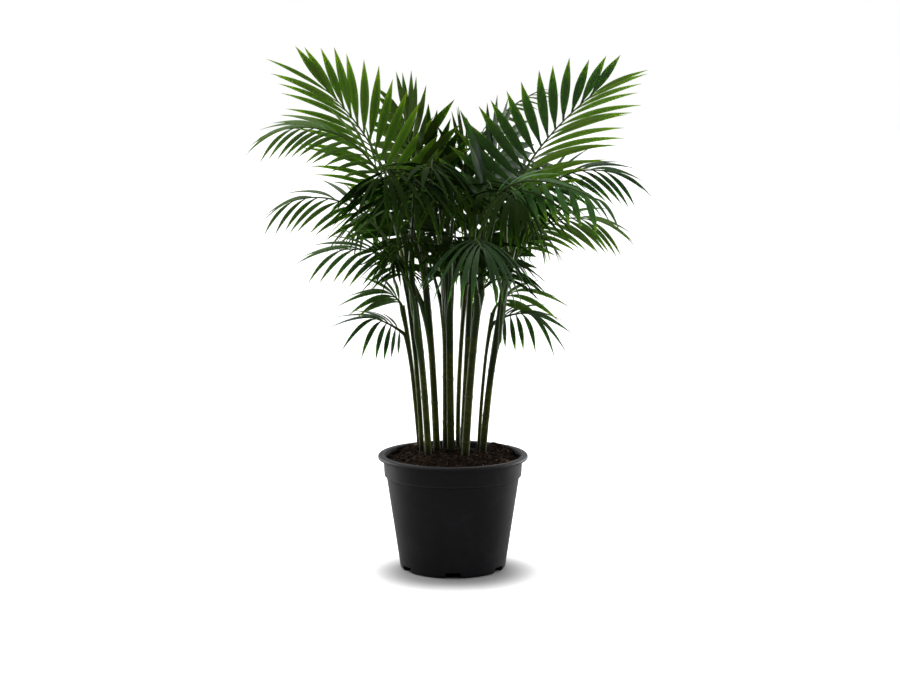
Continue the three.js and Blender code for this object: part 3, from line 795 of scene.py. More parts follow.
def soil_mesh(settings, pot):
    """A closed solid that fills the pot, with a fine surface on top, and the surface by itself."""
    sides, rings, gap = 150, 46, 0.0003
    base_inset, base_corner = 0.0034, 0.003  # clear of the pot's rounded inside corner
    below_lip, collar_inset, rim_inset = 0.0042, 0.0026, 0.0009
    base = pot.lift + pot.wall + gap
    collar_foot = pot.height - pot.rim_height - pot.collar_height
    against_wall = [
        (pot.foot_radius - pot.wall - base_inset, base),
        (pot.foot_radius - pot.wall - 2 * gap, base + base_corner),
        (pot.collar_radius - pot.step - pot.wall - 2 * gap, collar_foot - below_lip),
        (pot.collar_radius - collar_inset - pot.wall - gap, collar_foot + pot.wall),
    ]
    edge = pot.mouth_radius - rim_inset
    surface = [(edge * ring / rings, base) for ring in range(rings, -1, -1)]
    points, faces = turned([(0, base), *against_wall, *surface], sides)
    first = 1 + len(against_wall) * sides
    points[first:] = [(x, y, soil_height(settings, x, y)) for x, y, _ in points[first:]]
    top = [tuple(i - first for i in face) for face in faces if min(face) >= first]
    return mesh_of("palm_soil", points, faces=faces), mesh_of("soil_surface", points[first:], faces=top)


def scattered(graph, given, piece, turn, size, shade):
    """Copies of a piece at random places on a surface, each with a shade of its own."""
    points = graph.add(
        "GeometryNodeDistributePointsOnFaces",
        {"Mesh": given["Geometry"], "Density": given["Density"], "Seed": given["Seed"]},
    )
    copies = graph.add(
        "GeometryNodeInstanceOnPoints",
        {
            "Points": points.outputs["Points"],
            "Instance": piece,
            "Rotation": graph.add("FunctionNodeEulerToRotation", {"Euler": turn}),
            "Scale": size,
        },
    )
    shaded = stored(graph, copies, "shade", shade, domain="INSTANCE")
    return graph.add("GeometryNodeRealizeInstances", {"Geometry": shaded})


def roughened(graph, geometry, scale, middle, reach):
    """The geometry with its points moved by noise. middle is the noise that doesn't move them."""
    place = graph.add("GeometryNodeInputPosition")
    moves = graph.add("ShaderNodeTexNoise", {"Vector": place, "Scale": scale, "Detail": 1.0})
    offset = graph.scaled(graph.vector("SUBTRACT", moves.outputs["Color"], middle), reach)
    return graph.add("GeometryNodeSetPosition", {"Geometry": geometry, "Offset": offset})


def litter_tree():
    """Scatters copies of one small piece over a surface, each turned, scaled and roughened."""
    inputs = {"Piece": "Object", "Density": 1000.0, "Smallest": 0.002, "Largest": 0.006}
    inputs.update({"Lean": 0.6, "Uneven": 0.001, "Seed": 0, "Material": "Material"})
    tree, graph, given, out = geometry_group("Palm litter", inputs)
    seed = given["Seed"]
    lean = graph.add("ShaderNodeCombineXYZ", {"X": given["Lean"], "Y": given["Lean"], "Z": math.pi})
    turn = chance(graph, graph.scaled(lean, -1.0), lean, seed, "FLOAT_VECTOR")
    small = graph.math("POWER", chance(graph, 0.0, 1.0, seed), 3.0)
    size = graph.ranged(small, 0.0, 1.0, given["Smallest"], given["Largest"], smooth=False)
    piece = graph.add("GeometryNodeObjectInfo", {"Object": given["Piece"]}).outputs["Geometry"]
    shade = chance(graph, 0.0, 1.0, graph.math("ADD", seed, 9.0))
    pieces = scattered(graph, given, piece, turn, size, shade)
    uneven = roughened(graph, pieces, scale=320.0, middle=(0.5, 0.5, 0.5), reach=given["Uneven"])
    finished(graph, uneven, given["Material"], out)
    return tree


def litter_piece(name, size, cuts):
    """One plain piece of litter about 1 across: a block with a few cuts, its corners drawn in."""
    corner_radius, drawn_in = 0.55, 0.6
    work = bmesh.new()
    bmesh.ops.create_cube(work, size=1)
    bmesh.ops.subdivide_edges(work, edges=work.edges[:], cuts=cuts, use_grid_fill=True)
    for vert in work.verts:
        vert.co = vert.co.lerp(vert.co.normalized() * corner_radius, drawn_in)
        vert.co = Vector((vert.co.x * size[0], vert.co.y * size[1], vert.co.z * size[2]))
    return object_of(name, work)


def fibre_tree():
    """Lays thin, crooked root fibres over a surface."""
    inputs = {"Density": 1000.0, "Length": 0.02, "Radius": 0.0004, "Wander": 0.01}
    inputs.update({"Seed": 0, "Material": "Material"})
    tree, graph, given, out = geometry_group("Palm fibres", inputs)
    seed, lean = given["Seed"], 0.25
    line = graph.add("GeometryNodeCurvePrimitiveLine", {"Start": (-0.5, 0, 0), "End": (0.5, 0, 0)})
    strand = graph.add("GeometryNodeResampleCurve", {"Curve": line, "Count": 9})
    turn = chance(graph, (-lean, -lean, -math.pi), (lean, lean, math.pi), seed, "FLOAT_VECTOR")
    size = graph.times(chance(graph, 0.4, 1.0, seed), given["Length"])
    strands = scattered(graph, given, strand, turn, size, chance(graph, 0.55, 1.0, seed))
    crooked = roughened(graph, strands, scale=90.0, middle=(0.5, 0.5, 0.42), reach=given["Wander"])
    fibre = tube(graph, crooked, circle(graph, sides=5, radius=given["Radius"]), sharp_angle=1.0)
    finished(graph, fibre, given["Material"], out)
    return tree


def scatter_on(surface, name, tree, values):
    """A piece of its own for one kind of litter, which lies on the soil and rides with it."""
    litter = new_object("palm_" + name, surface.copy())
    baked(litter, tree, values, keep=("shade",))
    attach(litter, BODY)


def make_soil(settings, pot_settings):
    material = soil_material(settings)
    solid, surface = soil_mesh(settings, pot_settings)
    middle, spread, scale = 0.35, 0.35, 55
    shades = [middle + spread * noise.noise(point.co * scale) for point in solid.vertices]
    give(solid, "shade", "FLOAT", shades)
    solid.shade_smooth()
    solid.materials.append(material)
    settle(new_object("palm_soil", solid), "soil")

    litter = litter_tree()
    kinds = {
        "crumbs": dict(
            size=(1, 0.85, 0.7), Density=settings.crumbs, Smallest=0.0018, Largest=0.0065, Lean=1.2
        ),
        "bark_chips": dict(
            size=(1, 0.55, 0.22), Density=settings.chips, Smallest=0.005, Largest=0.017, Lean=0.45
        ),
    }
    for offset, (name, values) in enumerate(kinds.items()):
        piece = litter_piece("blank_" + name, values.pop("size"), 1)
        values["Density"] = float(values["Density"])
        values.update(Piece=piece, Uneven=0.0022, Seed=settings.seed + offset, Material=material)
        scatter_on(surface, name, litter, values)
        bpy.data.objects.remove(piece)
    values = dict(Density=float(settings.fibres), Length=0.03, Radius=0.00035, Wander=0.014)
    values.update(Seed=settings.seed, Material=material)
    scatter_on(surface, "fibres", fibre_tree(), values)
    bpy.data.meshes.remove(surface)


# ---------------------------------------------------------------- curves and canes
class Arc:
    """A curve that leaves one point, bends towards a second and ends at a third."""

    def __init__(self, start, bend, end):
        self.start, self.bend, self.end = Vector(start), Vector(bend), Vector(end)

    def point(self, t):
        first = self.start.lerp(self.bend, t)
        return first.lerp(self.bend.lerp(self.end, t), t)

    def tangent(self, t):
        return (self.bend - self.start).lerp(self.end - self.bend, t).normalized()

    def share_at(self, height):
        """How far along the curve a height is, found by halving."""
        low, high = 0.0, 1.0
        for _ in range(24):
            middle = (low + high) / 2
            if self.point(middle).z < height:
                low = middle
            else:
                high = middle
        return low


def cane_arc(name):
    """A cane's middle line, from its foot in the soil."""
    row = CANES[name]
    foot = (*row["foot"], SOIL_MOUND - CANE_BURIED)
    return Arc(Vector(foot) * MM, Vector(row["bend"]) * MM, Vector(row["top"]) * MM)


def cane_material(settings):
    material, graph, shader = new_material("Cane", specular=0.12)
    place = object_place(graph)
    along, around = attribute_of(graph, "along"), attribute_of(graph, "around")
    seed, scar = attribute_of(graph, "shade"), attribute_of(graph, "scar")
    mottle = mottled(graph, place, scale=26.0, contrast=1.6)
    lines = lined(graph, around, along, seed, count=9.0, drift=6.0)
    share = graph.ranged(graph.both(lines, 0.4, mottle, 0.6), 0.38, 0.68)
    colour = graph.mixed(share, opaque(settings.green), opaque(settings.olive))
    ring = graph.ranged(scar, 0.55, 0.9)
    colour = graph.mixed(graph.times(ring, 0.7), colour, opaque(settings.scar))
    # Painted shade and peat: the cane darkens towards the soil.
    buried = CANE_BURIED * MM
    shade_and_peat_mask = graph.ranged(along, buried, buried + settings.shade_and_peat_height, 0.85, 0.0)
    graph.plug(graph.mixed(shade_and_peat_mask, colour, opaque(settings.foot_shade_and_peat)), shader.inputs["Base Color"])
    graph.plug(roughness_from(graph, mottle, smooth=0.36, rough=0.55), shader.inputs["Roughness"])
    bumped(graph, shader, graph.both(lines, 0.6, mottle, 0.4), distance=0.0005, strength=0.6)
    return material


def cane_tree():
    """A tube along a cane's middle line, thicker at each old leaf scar."""
    inputs = {"Sides": 20, "Step": 0.003, "Scar Height": 0.0045, "Scar Swell": 0.1, "Material": "Material"}
    tree, graph, given, out = geometry_group("Palm cane", inputs)
    line = graph.add("GeometryNodeMeshToCurve", {"Mesh": given["Geometry"]})
    fine = graph.add("GeometryNodeResampleCurve", {"Curve": line, "Length": given["Step"]}, mode="LENGTH")
    length = graph.add("GeometryNodeSplineParameter").outputs["Length"]
    measured = stored(graph, fine, "along", length)
    place = graph.add("GeometryNodeInputPosition")
    height = graph.add("ShaderNodeSeparateXYZ", {"Vector": place}).outputs["Z"]
    every = SCAR_EVERY * MM
    from_scar = graph.math("SUBTRACT", height, named(graph, "scar_height"))
    above = graph.math("FLOORED_MODULO", from_scar, every)
    apart = graph.math("MINIMUM", above, graph.math("SUBTRACT", every, above))
    ringed = stored(graph, measured, "scar", graph.ranged(apart, 0.0, given["Scar Height"], 1.0, 0.0))
    turned_share = graph.add("GeometryNodeSplineParameter").outputs["Factor"]
    section = stored(graph, circle(graph, given["Sides"]), "around", turned_share)
    swell = graph.math("MULTIPLY_ADD", named(graph, "scar"), given["Scar Swell"], 1.0)
    radius = graph.times(swell, named(graph, "radius"))
    cane = tube(graph, ringed, section, sharp_angle=0.9, scale=radius)
    finished(graph, cane, given["Material"], out)
    return tree


def make_cane(name, settings, tree, material):
    arc, row = cane_arc(name), CANES[name]
    stops = 24
    shares = [i / stops for i in range(stops + 1)]
    points = [arc.point(t) for t in shares]
    mesh = mesh_of("palm_cane_" + name, points, edges=[(i, i + 1) for i in range(stops)])
    give(mesh, "radius", "FLOAT", [row["radius"] * MM * (1 - CANE_TAPER * t) for t in shares])
    give(mesh, "scar_height", "FLOAT", [row["scar"] * MM] * len(points))
    tints = 7
    give(mesh, "shade", "FLOAT", [ord(name) % tints / tints] * len(points))
    cane = new_object("palm_cane_" + name, mesh)
    values = {"Sides": settings.sides, "Scar Swell": settings.scar_swell, "Material": material}
    baked(cane, tree, values, keep=("along", "around", "scar", "shade"))
    settle(cane, "cane_" + name)


# ---------------------------------------------------------------- fronds
def steady_noise(a, b):
    """A number from -1 to 1 that is the same each time for the same two seeds."""
    wave = math.sin(a * 12.9898 + b * 78.233) * 43758.5453
    return 2 * (wave - math.floor(wave)) - 1


def lerp(a, b, t):
    return a + (b - a) * t


class Frond:
    """One frond's stalk and leaflets, worked out from its row."""

    def __init__(self, name):
        row = dict(USUAL, **FRONDS[name])
        cane = name[0]
        self.row = row
        self.seed = ord(name[0]) + 7 * ord(name[1])
        self.cane = cane_arc(cane)
        self.cane_radius = CANES[cane]["radius"] * MM
        self.leaves_cane = self.cane.share_at(row["at"] * MM)
        middle = self.cane.point(self.leaves_cane)
        tip = Vector(row["tip"]) * MM
        heading = math.atan2(tip.y - middle.y, tip.x - middle.x)
        self.outwards = Vector((math.cos(heading), math.sin(heading), 0))
        self.level = Vector((math.sin(heading), -math.cos(heading), 0))
        start = middle + self.outwards * STALK_OFFSET * self.cane_radius
        self.arc = Arc(start, Vector(row["via"]) * MM, tip)

    def across(self, s):
        """The blade's own directions on the stalk: along, to the side, and up."""
        tangent = self.arc.tangent(s)
        side = (self.level - tangent * self.level.dot(tangent)).normalized()
        side = Matrix.Rotation(math.radians(self.row["roll"]), 3, tangent) @ side
        return tangent, side, side.cross(tangent)

    def leaflet(self, index, hand, turn):
        """A leaflet's seat, first direction, bend and sizes. hand is -1 on one side and 1 on the other."""

        def wobble(number):
            return steady_noise(self.seed + number, (index + 1) * hand)

        row = dict(self.row, **self.row["low" if hand * self.row["roll"] > 0 else "high"])
        u = index / (row["pairs"] - 1)
        pairs_along = index + (STAGGER if hand > 0 else 0)
        s = lerp(row["bare"], 1, pairs_along / (row["pairs"] - 1 + STAGGER))
        tangent, side, up = self.across(s)
        spread = math.radians(lerp(*row["spread"], u ** row["ease"]) + WOBBLE["spread"] * wobble(1))
        lift = math.radians(row["lift"] + turn + WOBBLE["lift"] * wobble(2))
        out = side * hand * math.cos(lift) + up * math.sin(lift)
        start = tangent * math.cos(spread) + out * math.sin(spread)
        fade, power = row["fade"]
        full = 1 - fade * u**power - FIRST_SHORT * (1 - u) ** SHORT_POWER
        bend = tangent * row["sweep"] + Vector((0, 0, -lerp(*row["sag"], u)))
        bend -= start * bend.dot(start)
        return dict(
            seat=self.arc.point(s),
            start=start,
            bend=bend,
            edge=(tangent - start * tangent.dot(start)).normalized() * -hand,
            leaf_length=row["leaflet"] * MM * full * (1 + WOBBLE["length"] * wobble(3)),
            leaf_width=row["width"] * MM * (1 - END_NARROW + END_NARROW * math.sin(math.pi * u)),
            tilt=math.radians(row["tilt"] * hand),
            twist=math.radians(WOBBLE["twist"] * wobble(4)),
            shade=0.5 + 0.5 * wobble(5),
            tone=row["tone"],
            fresh=row["fresh"],
        )

    def leaflets(self, corners):
        """The leaflets that the frame's frond has, each turned so that its tip or keel meets a corner."""
        found = []
        for index in range(self.row["pairs"]):
            for hand in (-1, 1):
                for turn in TURNS:
                    leaf = self.leaflet(index, hand, turn)
                    ends = [self.leaf_point(leaf, 1.0), self.leaf_keel(leaf)]
                    if min(corners.find(end)[2] for end in ends) < CORNER_FIT:
                        found.append(leaf)
                        break
        return found

    @staticmethod
    def leaf_point(leaf, t):
        return leaf["seat"] + (leaf["start"] * t + leaf["bend"] * t * t) * leaf["leaf_length"]

    def leaf_keel(self, leaf):
        """The keel's corner at a leaflet's widest place, where the frame has one."""
        heading = (leaf["start"] + leaf["bend"] * 2 * KEEL_AT).normalized()
        blade = (leaf["edge"] - heading * leaf["edge"].dot(heading)).normalized()
        blade = Matrix.Rotation(leaf["tilt"], 3, heading) @ blade
        return self.leaf_point(leaf, KEEL_AT) + blade.cross(heading) * KEEL_HIGH

    def stalk(self):
        """The stalk's points and radii, from its sheath around the cane to its tip."""
        points, radii = [], []
        top = self.cane.point(self.leaves_cane).z
        for k in range(SHEATH_STEPS + 1):
            share = k / SHEATH_STEPS
            t = self.cane.share_at(top - SHEATH * (1 - SHEATH_SHARE * share))
            points.append(self.cane.point(t) + self.outwards * self.cane_radius * STALK_OFFSET * share**2)
            swell = lerp(1.0, SHEATH_SWELL, math.sin(math.pi * share / 2))
            radii.append(self.cane_radius * (1 - CANE_TAPER * t) * swell)
        sheath_radius = radii[-1]
        for k in range(1, STALK_STEPS + 1):
            s = k / STALK_STEPS
            points.append(self.arc.point(s))
            plain = lerp(STALK_ROOT, STALK_TIP, s**STALK_POWER)
            flare = max(0.0, sheath_radius - plain) * max(0.0, 1 - s / FLARE) ** 2
            radii.append(plain + flare)
        return points, radii


def node_corners(node):
    """A search tree of a CAD node's points."""
    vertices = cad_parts[node].data.vertices
    tree = KDTree(len(vertices))
    for vertex in vertices:
        tree.insert(vertex.co, vertex.index)
    tree.balance()
    return tree


def leaf_half_width(graph, t):
    """Half a leaflet's width: t^a (1-t)^b, which is 1 at its widest place a / (a + b)."""
    rise, fall = 1.2, 1.2
    widest = rise / (rise + fall)
    swell = graph.math("POWER", graph.math("DIVIDE", t, widest), rise)
    narrow = graph.math("POWER", graph.math("DIVIDE", graph.math("SUBTRACT", 1.0, t), 1 - widest), fall)
    outline = graph.times(swell, narrow)
    seat_length, seat_width, tip_width = 0.2, 0.2, 0.015
    least = graph.ranged(t, 0.0, seat_length, seat_width, tip_width)
    half_width = graph.times(named(graph, "leaf_width"), 0.5)
    return graph.times(graph.math("MAXIMUM", outline, least), half_width)


def leaf_place(graph, given, t, across, rise):
    """Where a point of a blank rod lies on its leaflet. t runs along it, and across and rise run from
    -1 to 1 over its width and its thickness."""
    keys = ("seat", "start", "bend", "edge")
    seat, start, bend, edge = (named(graph, key, "FLOAT_VECTOR") for key in keys)
    along_bend = graph.scaled(bend, graph.times(t, 2.0))
    heading = graph.vector("NORMALIZE", graph.vector("ADD", start, along_bend))
    part = graph.vector("DOT_PRODUCT", edge, heading)
    level = graph.vector("NORMALIZE", graph.vector("SUBTRACT", edge, graph.scaled(heading, part)))
    angle = graph.math("MULTIPLY_ADD", named(graph, "twist"), t, named(graph, "tilt"))
    inputs = {"Vector": level, "Axis": heading, "Angle": angle}
    blade = graph.add("ShaderNodeVectorRotate", inputs, rotation_type="AXIS_ANGLE").outputs["Vector"]
    up = graph.vector("CROSS_PRODUCT", blade, heading)
    half = leaf_half_width(graph, t)
    half_share, tip_share = 0.5, 0.15  # of the thickness, up to the middle and at the tip
    thin = graph.times(given["Thickness"], graph.ranged(t, 0.5, 1.0, half_share, tip_share))
    drop = graph.times(graph.math("ABSOLUTE", across), graph.times(half, given["Fold"]))
    lengthwise = graph.vector("ADD", graph.scaled(start, t), graph.scaled(bend, graph.times(t, t)))
    place = graph.vector("ADD", seat, graph.scaled(lengthwise, named(graph, "leaf_length")))
    place = graph.vector("ADD", place, graph.scaled(blade, graph.times(across, half)))
    above_keel = graph.math("SUBTRACT", graph.times(rise, thin), drop)
    return graph.vector("ADD", place, graph.scaled(up, above_keel))


def frond_tree():
    """A frond from its skeleton: a tube along the stalk's edges, and a folded blade at each seat."""
    inputs = {"Thickness": 0.0007, "Fold": 0.2, "Segments": 10}
    inputs.update({"Leaf Material": "Material", "Stalk Material": "Material"})
    tree, graph, given, out = geometry_group("Palm frond", inputs)
    is_seat = named(graph, "is_seat", "BOOLEAN")
    parts = graph.add(
        "GeometryNodeSeparateGeometry", {"Geometry": given["Geometry"], "Selection": is_seat}
    ).outputs
    line = graph.add("GeometryNodeMeshToCurve", {"Mesh": parts["Inverted"]})
    stalk = tube(graph, line, circle(graph, sides=10), sharp_angle=0.9, scale=named(graph, "radius"))

    # A blank six-sided rod of height 1, whose corners become a blade's two edges and keel.
    corner = math.radians(30)
    size = {"Vertices": 6, "Side Segments": given["Segments"], "Radius": 1.0, "Depth": 1.0}
    rod = graph.add("GeometryNodeMeshCylinder", size, fill_type="NGON").outputs["Mesh"]
    blank = graph.add("GeometryNodeTransform", {"Geometry": rod, "Rotation": (0, 0, corner)})
    place_on_rod = graph.add("GeometryNodeInputPosition")
    blank = stored(graph, blank, "form", place_on_rod, "FLOAT_VECTOR")
    blades = graph.add("GeometryNodeInstanceOnPoints", {"Points": parts["Selection"], "Instance": blank})
    leaves = graph.add("GeometryNodeRealizeInstances", {"Geometry": blades})
    form = graph.add("ShaderNodeSeparateXYZ", {"Vector": named(graph, "form", "FLOAT_VECTOR")}).outputs
    t = graph.math("ADD", form["Z"], 0.5)
    across = graph.times(form["X"], -1 / math.cos(corner))
    place = leaf_place(graph, given, t, across, form["Y"])
    under = graph.math("LESS_THAN", form["Y"], 0.0)
    for name, value in (("along", t), ("across", across), ("under", under)):
        leaves = stored(graph, leaves, name, value)
    leaves = graph.add("GeometryNodeSetPosition", {"Geometry": leaves, "Position": place})

    leaves = smoothed(graph, leaves, angle=0.8)
    joined = graph.add("GeometryNodeJoinGeometry")
    for geometry, material in ((leaves, "Leaf Material"), (stalk, "Stalk Material")):
        inputs = {"Geometry": geometry, "Material": given[material]}
        graph.plug(graph.add("GeometryNodeSetMaterial", inputs), joined.inputs[0])
    graph.plug(graph.add("GeometryNodeRealizeInstances", {"Geometry": joined}), out)
    return tree


def leaf_material(settings, name, specular):
    material, graph, shader = new_material(name, specular)
    shader.inputs["Subsurface Weight"].default_value = 0.35
    shader.inputs["Subsurface Scale"].default_value = 0.002
    shader.inputs["Subsurface Radius"].default_value = (0.7, 1.0, 0.15)
    place = object_place(graph)
    along, across = attribute_of(graph, "along"), attribute_of(graph, "across")
    keys = ("under", "shade", "fresh", "tone")
    under, shade, fresh, frond_painted_light = (attribute_of(graph, key) for key in keys)
    mottle = mottled(graph, place, scale=18.0, contrast=1.4)
    veins = lined(graph, across, along, shade, count=7.0, drift=0.6)
    share = graph.math("ADD", fresh, graph.times(graph.math("SUBTRACT", mottle, 0.5), 0.5))
    share = graph.ranged(share, 0.0, 1.0, smooth=False)
    colour = graph.mixed(share, opaque(settings.old), opaque(settings.fresh))
    tone = graph.math("MULTIPLY_ADD", veins, 0.5, graph.math("MULTIPLY_ADD", shade, 0.45, 0.5))
    colour = graph.mixed(1.0, colour, tone, "MULTIPLY")
    rib = graph.times(graph.ranged(graph.math("ABSOLUTE", across), 0.03, 0.13, 1.0, 0.0), 0.45)
    colour = graph.mixed(rib, colour, opaque(settings.rib))
    colour = graph.mixed(graph.times(under, 0.35), colour, opaque(settings.underside))
    # Painted light: each frond's colour is made darker or lighter by its tone, for the crown's shade and for
    # sheen.
    colour = graph.mixed(1.0, colour, frond_painted_light, "MULTIPLY")
    dry_tip, straw = graph.times(graph.ranged(along, 0.965, 1.0), 0.8), (0.07, 0.045, 0.02, 1.0)
    graph.plug(graph.mixed(dry_tip, colour, straw), shader.inputs["Base Color"])
    graph.plug(roughness_from(graph, mottle, smooth=0.38, rough=0.52), shader.inputs["Roughness"])
    bumped(graph, shader, veins, distance=0.0004, strength=0.5)
    return material


def stalk_material(settings):
    material, graph, shader = new_material("Leaf stalk", specular=0.1)
    place = object_place(graph)
    along, fresh = attribute_of(graph, "along"), attribute_of(graph, "fresh")
    mottle = mottled(graph, place, scale=30.0, contrast=1.5)
    deep = tuple(0.55 * c for c in settings.rib)
    share = graph.both(mottle, 0.6, along, 0.5)
    colour = graph.mixed(graph.ranged(share, 0.2, 0.8), opaque(deep), opaque(settings.rib))
    colour = graph.mixed(graph.times(fresh, 0.3), colour, opaque(settings.fresh))
    # Painted light: the stalk is darker or lighter with its frond's tone.
    tone = graph.ranged(attribute_of(graph, "tone"), 0.0, 1.0, 0.3, 1.0, smooth=False)
    graph.plug(graph.mixed(1.0, colour, tone, "MULTIPLY"), shader.inputs["Base Color"])
    graph.plug(roughness_from(graph, mottle, smooth=0.32, rough=0.48), shader.inputs["Roughness"])
    streaks = graph.noise(graph.vector("MULTIPLY", place, (1, 1, 0.1)), scale=600.0)
    bumped(graph, shader, streaks, distance=0.0003, strength=0.5)
    return material


def make_frond(name, settings, tree, glossy, dull, stalk):
    frond = Frond(name)
    points, radii = frond.stalk()
    leaves = frond.leaflets(node_corners("frond_" + name))
    if not leaves:
        raise RuntimeError(f"frond {name} has no leaflet that the frame has")
    stalk_count, leaf_count = len(points), len(leaves)
    edges = [(i, i + 1) for i in range(stalk_count - 1)]
    mesh = mesh_of("palm_frond_" + name, points + [leaf["seat"] for leaf in leaves], edges=edges)
    shares = [i / (stalk_count - 1) for i in range(stalk_count)]
    give(mesh, "is_seat", "BOOLEAN", [False] * stalk_count + [True] * leaf_count)
    give(mesh, "radius", "FLOAT", radii + [0.0] * leaf_count)
    give(mesh, "along", "FLOAT", shares + [0.0] * leaf_count)
    for key in ("seat", "start", "bend", "edge"):
        give(mesh, key, "FLOAT_VECTOR", [Vector()] * stalk_count + [leaf[key] for leaf in leaves])
    for key in ("leaf_length", "leaf_width", "tilt", "twist", "shade"):
        give(mesh, key, "FLOAT", [0.0] * stalk_count + [leaf[key] for leaf in leaves])
    for key in ("fresh", "tone"):
        give(mesh, key, "FLOAT", [frond.row[key]] * stalk_count + [leaf[key] for leaf in leaves])
    obj = new_object("palm_frond_" + name, mesh)
    # Fronds in painted shade get the dull leaves.
    leaf = dull if frond.row["tone"] < DULL_BELOW else glossy
    values = {"Thickness": settings.thickness, "Fold": settings.fold, "Segments": settings.segments}
    values.update({"Leaf Material": leaf, "Stalk Material": stalk})
    baked(obj, tree, values, keep=("along", "across", "under", "shade", "fresh", "tone"))
    settle(obj, "frond_" + name)


# ---------------------------------------------------------------- stage
def make_camera(settings):
    data = bpy.data.cameras.new("Camera")
    data.lens, data.sensor_width = settings.lens, 36.0  # millimetres
    camera = new_object("Camera", data)
    camera.location = (settings.camera_aside, -settings.camera_distance, settings.camera_height)
    camera.rotation_euler = Euler((math.pi / 2 - settings.camera_pitch, 0, 0))
    bpy.context.scene.camera = camera


def make_floor(settings):
    """A white floor that glows for the camera away from the pot and gives the palm little light back.
    A soft shadow is painted round the pot, and painted shade makes a dark ring under its foot."""
    half = 20.0
    # Painted shade: the floor is darker in a soft shadow painted round the pot, and nearly black in a ring
    # under its foot.
    white, shaded, painted_shade_under_pot, bounce, glow_strength = 0.9, 0.36, 0.01, 0.2, 0.35
    painted_shadow_middle, painted_shadow_from = (0.001, -0.036, 0), 0.085
    ring_inside, ring_outside = 0.080, 0.092
    corners = [(-half, -half, 0), (half, -half, 0), (half, half, 0), (-half, half, 0)]
    mesh = mesh_of("floor", corners, faces=[(0, 1, 2, 3)])
    material, graph, shader = new_material("Pale floor", specular=0.0)
    shader.inputs["Roughness"].default_value = 0.9
    seen = graph.add("ShaderNodeLightPath").outputs["Is Camera Ray"]
    place = object_place(graph)
    # The painted shadow fades out from near the pot to the shadow radius.
    outside_painted_shadow = graph.ranged(graph.vector("DISTANCE", place, painted_shadow_middle), painted_shadow_from, settings.painted_shadow_radius)
    from_middle = graph.vector("LENGTH", place)
    # Painted shade: a dark ring under the pot's foot.
    outside = graph.ranged(from_middle, ring_inside, ring_outside, painted_shade_under_pot, 1.0)
    pale_with_painted_shade = graph.times(graph.math("MULTIPLY_ADD", outside_painted_shadow, white - shaded, shaded), outside)
    graph.plug(graph.mixed(seen, (bounce, bounce, bounce, 1), pale_with_painted_shade), shader.inputs["Base Color"])
    glow = graph.times(graph.times(outside_painted_shadow, glow_strength), seen)
    graph.plug(glow, shader.inputs["Emission Strength"])
    shader.inputs["Emission Color"].default_value = (1, 1, 1, 1)
    mesh.materials.append(material)
    new_object("floor", mesh)


def add_light(name, kind, energy, place, towards, **settings):
    data = bpy.data.lights.new(name, kind)
    data.energy = energy
    for key, value in settings.items():
        setattr(data, key, value)
    light = new_object(name, data)
    light.location = place
    light.rotation_euler = (Vector(towards) - Vector(place)).to_track_quat("-Z", "Y").to_euler()


def make_lights():
    middle, pot = (0, 0, 0.5), (0, 0, 0.12)
    add_light("overhead", "SUN", 2.6, (-0.5, 0.3, 3.0), middle, angle=math.radians(70))
    add_light("behind", "AREA", 30, (0.3, 2.6, 2.2), middle, size=2.4)
    add_light("left", "AREA", 9, (-1.8, 0.3, 0.7), middle, size=1.0)
    add_light("right", "AREA", 9, (1.8, 0.3, 0.7), middle, size=1.0)
    add_light("low left", "AREA", 24, (-1.4, 1.0, 0.35), pot, size=0.7)
    add_light("low right", "AREA", 26, (1.4, 1.0, 0.35), pot, size=0.7)
    world = bpy.data.worlds.new("White")
    world.use_nodes = True
    graph = Graph(world.node_tree)
    background = world.node_tree.nodes["Background"]
    seen = graph.add("ShaderNodeLightPath").outputs["Is Camera Ray"]
    light_given, light_seen = 0.3, 1.0
    strength = graph.ranged(seen, 0.0, 1.0, light_given, light_seen)
    graph.plug(strength, background.inputs["Strength"])
    background.inputs["Color"].default_value = (1, 1, 1, 1)
    bpy.context.scene.world = world
    bpy.context.scene.view_settings.view_transform = "Standard"


# ---------------------------------------------------------------- operators and panel
class PALM_OT_pot(bpy.types.Operator):
    """Make the nursery pot"""

    bl_idname = "palm.pot"
    bl_label = "Pot"

    def execute(self, context):
        make_pot(context.scene.potted_palm.pot)
        return {"FINISHED"}


class PALM_OT_soil(bpy.types.Operator):
    """Make the potting soil with its crumbs, bark chips and fibres"""

    bl_idname = "palm.soil"
    bl_label = "Soil"

    def execute(self, context):
        palm = context.scene.potted_palm
        make_soil(palm.soil, palm.pot)
        return {"FINISHED"}


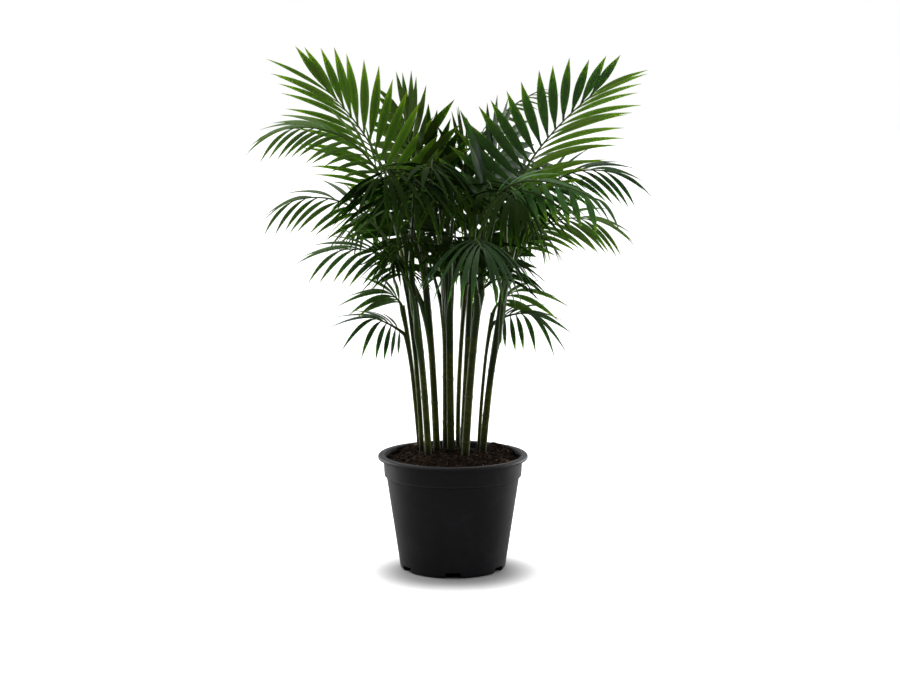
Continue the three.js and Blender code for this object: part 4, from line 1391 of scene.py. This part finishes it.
class PALM_OT_canes(bpy.types.Operator):
    """Make the canes"""

    bl_idname = "palm.canes"
    bl_label = "Canes"

    def execute(self, context):
        settings = context.scene.potted_palm.canes
        tree, material = cane_tree(), cane_material(settings)
        for name in CANES:
            make_cane(name, settings, tree, material)
        return {"FINISHED"}


class PALM_OT_fronds(bpy.types.Operator):
    """Make the fronds"""

    bl_idname = "palm.fronds"
    bl_label = "Fronds"

    def execute(self, context):
        settings = context.scene.potted_palm.fronds
        tree, stalk = frond_tree(), stalk_material(settings)
        glossy = leaf_material(settings, "Glossy leaf", specular=0.1)
        # The dull leaf, without sheen, is for fronds in painted shade.
        dull = leaf_material(settings, "Dull leaf", specular=0.005)
        for name in FRONDS:
            make_frond(name, settings, tree, glossy, dull, stalk)
        return {"FINISHED"}


class PALM_OT_stage(bpy.types.Operator):
    """Make the camera, the floor and the lights"""

    bl_idname = "palm.stage"
    bl_label = "Stage"

    def execute(self, context):
        settings = context.scene.potted_palm.stage
        make_camera(settings)
        make_floor(settings)
        make_lights()
        return {"FINISHED"}


class PALM_PT_panel(bpy.types.Panel):
    """The palm's settings and the buttons that build it"""

    bl_idname = "PALM_PT_panel"
    bl_label = "Potted Palm"
    bl_space_type = "VIEW_3D"
    bl_region_type = "UI"
    bl_category = "Palm"

    def draw(self, context):
        palm = context.scene.potted_palm
        for part in ("pot", "soil", "canes", "fronds", "stage"):
            box = self.layout.box()
            box.operator("palm." + part)
            settings = getattr(palm, part)
            for name in settings.__annotations__:
                box.prop(settings, name)


CLASSES = (
    PalmPotSettings,
    PalmSoilSettings,
    PalmCaneSettings,
    PalmFrondSettings,
    PalmStageSettings,
    PottedPalmSettings,
    PALM_OT_pot,
    PALM_OT_soil,
    PALM_OT_canes,
    PALM_OT_fronds,
    PALM_OT_stage,
    PALM_PT_panel,
)


def register():
    for cls in CLASSES:
        bpy.utils.register_class(cls)
    bpy.types.Scene.potted_palm = PointerProperty(type=PottedPalmSettings)


def unregister():
    del bpy.types.Scene.potted_palm
    for cls in reversed(CLASSES):
        bpy.utils.unregister_class(cls)


def main():
    register()
    bpy.ops.palm.stage()
    bpy.ops.palm.pot()
    bpy.ops.palm.soil()
    bpy.ops.palm.canes()
    bpy.ops.palm.fronds()


if __name__ == "__main__":
    main()
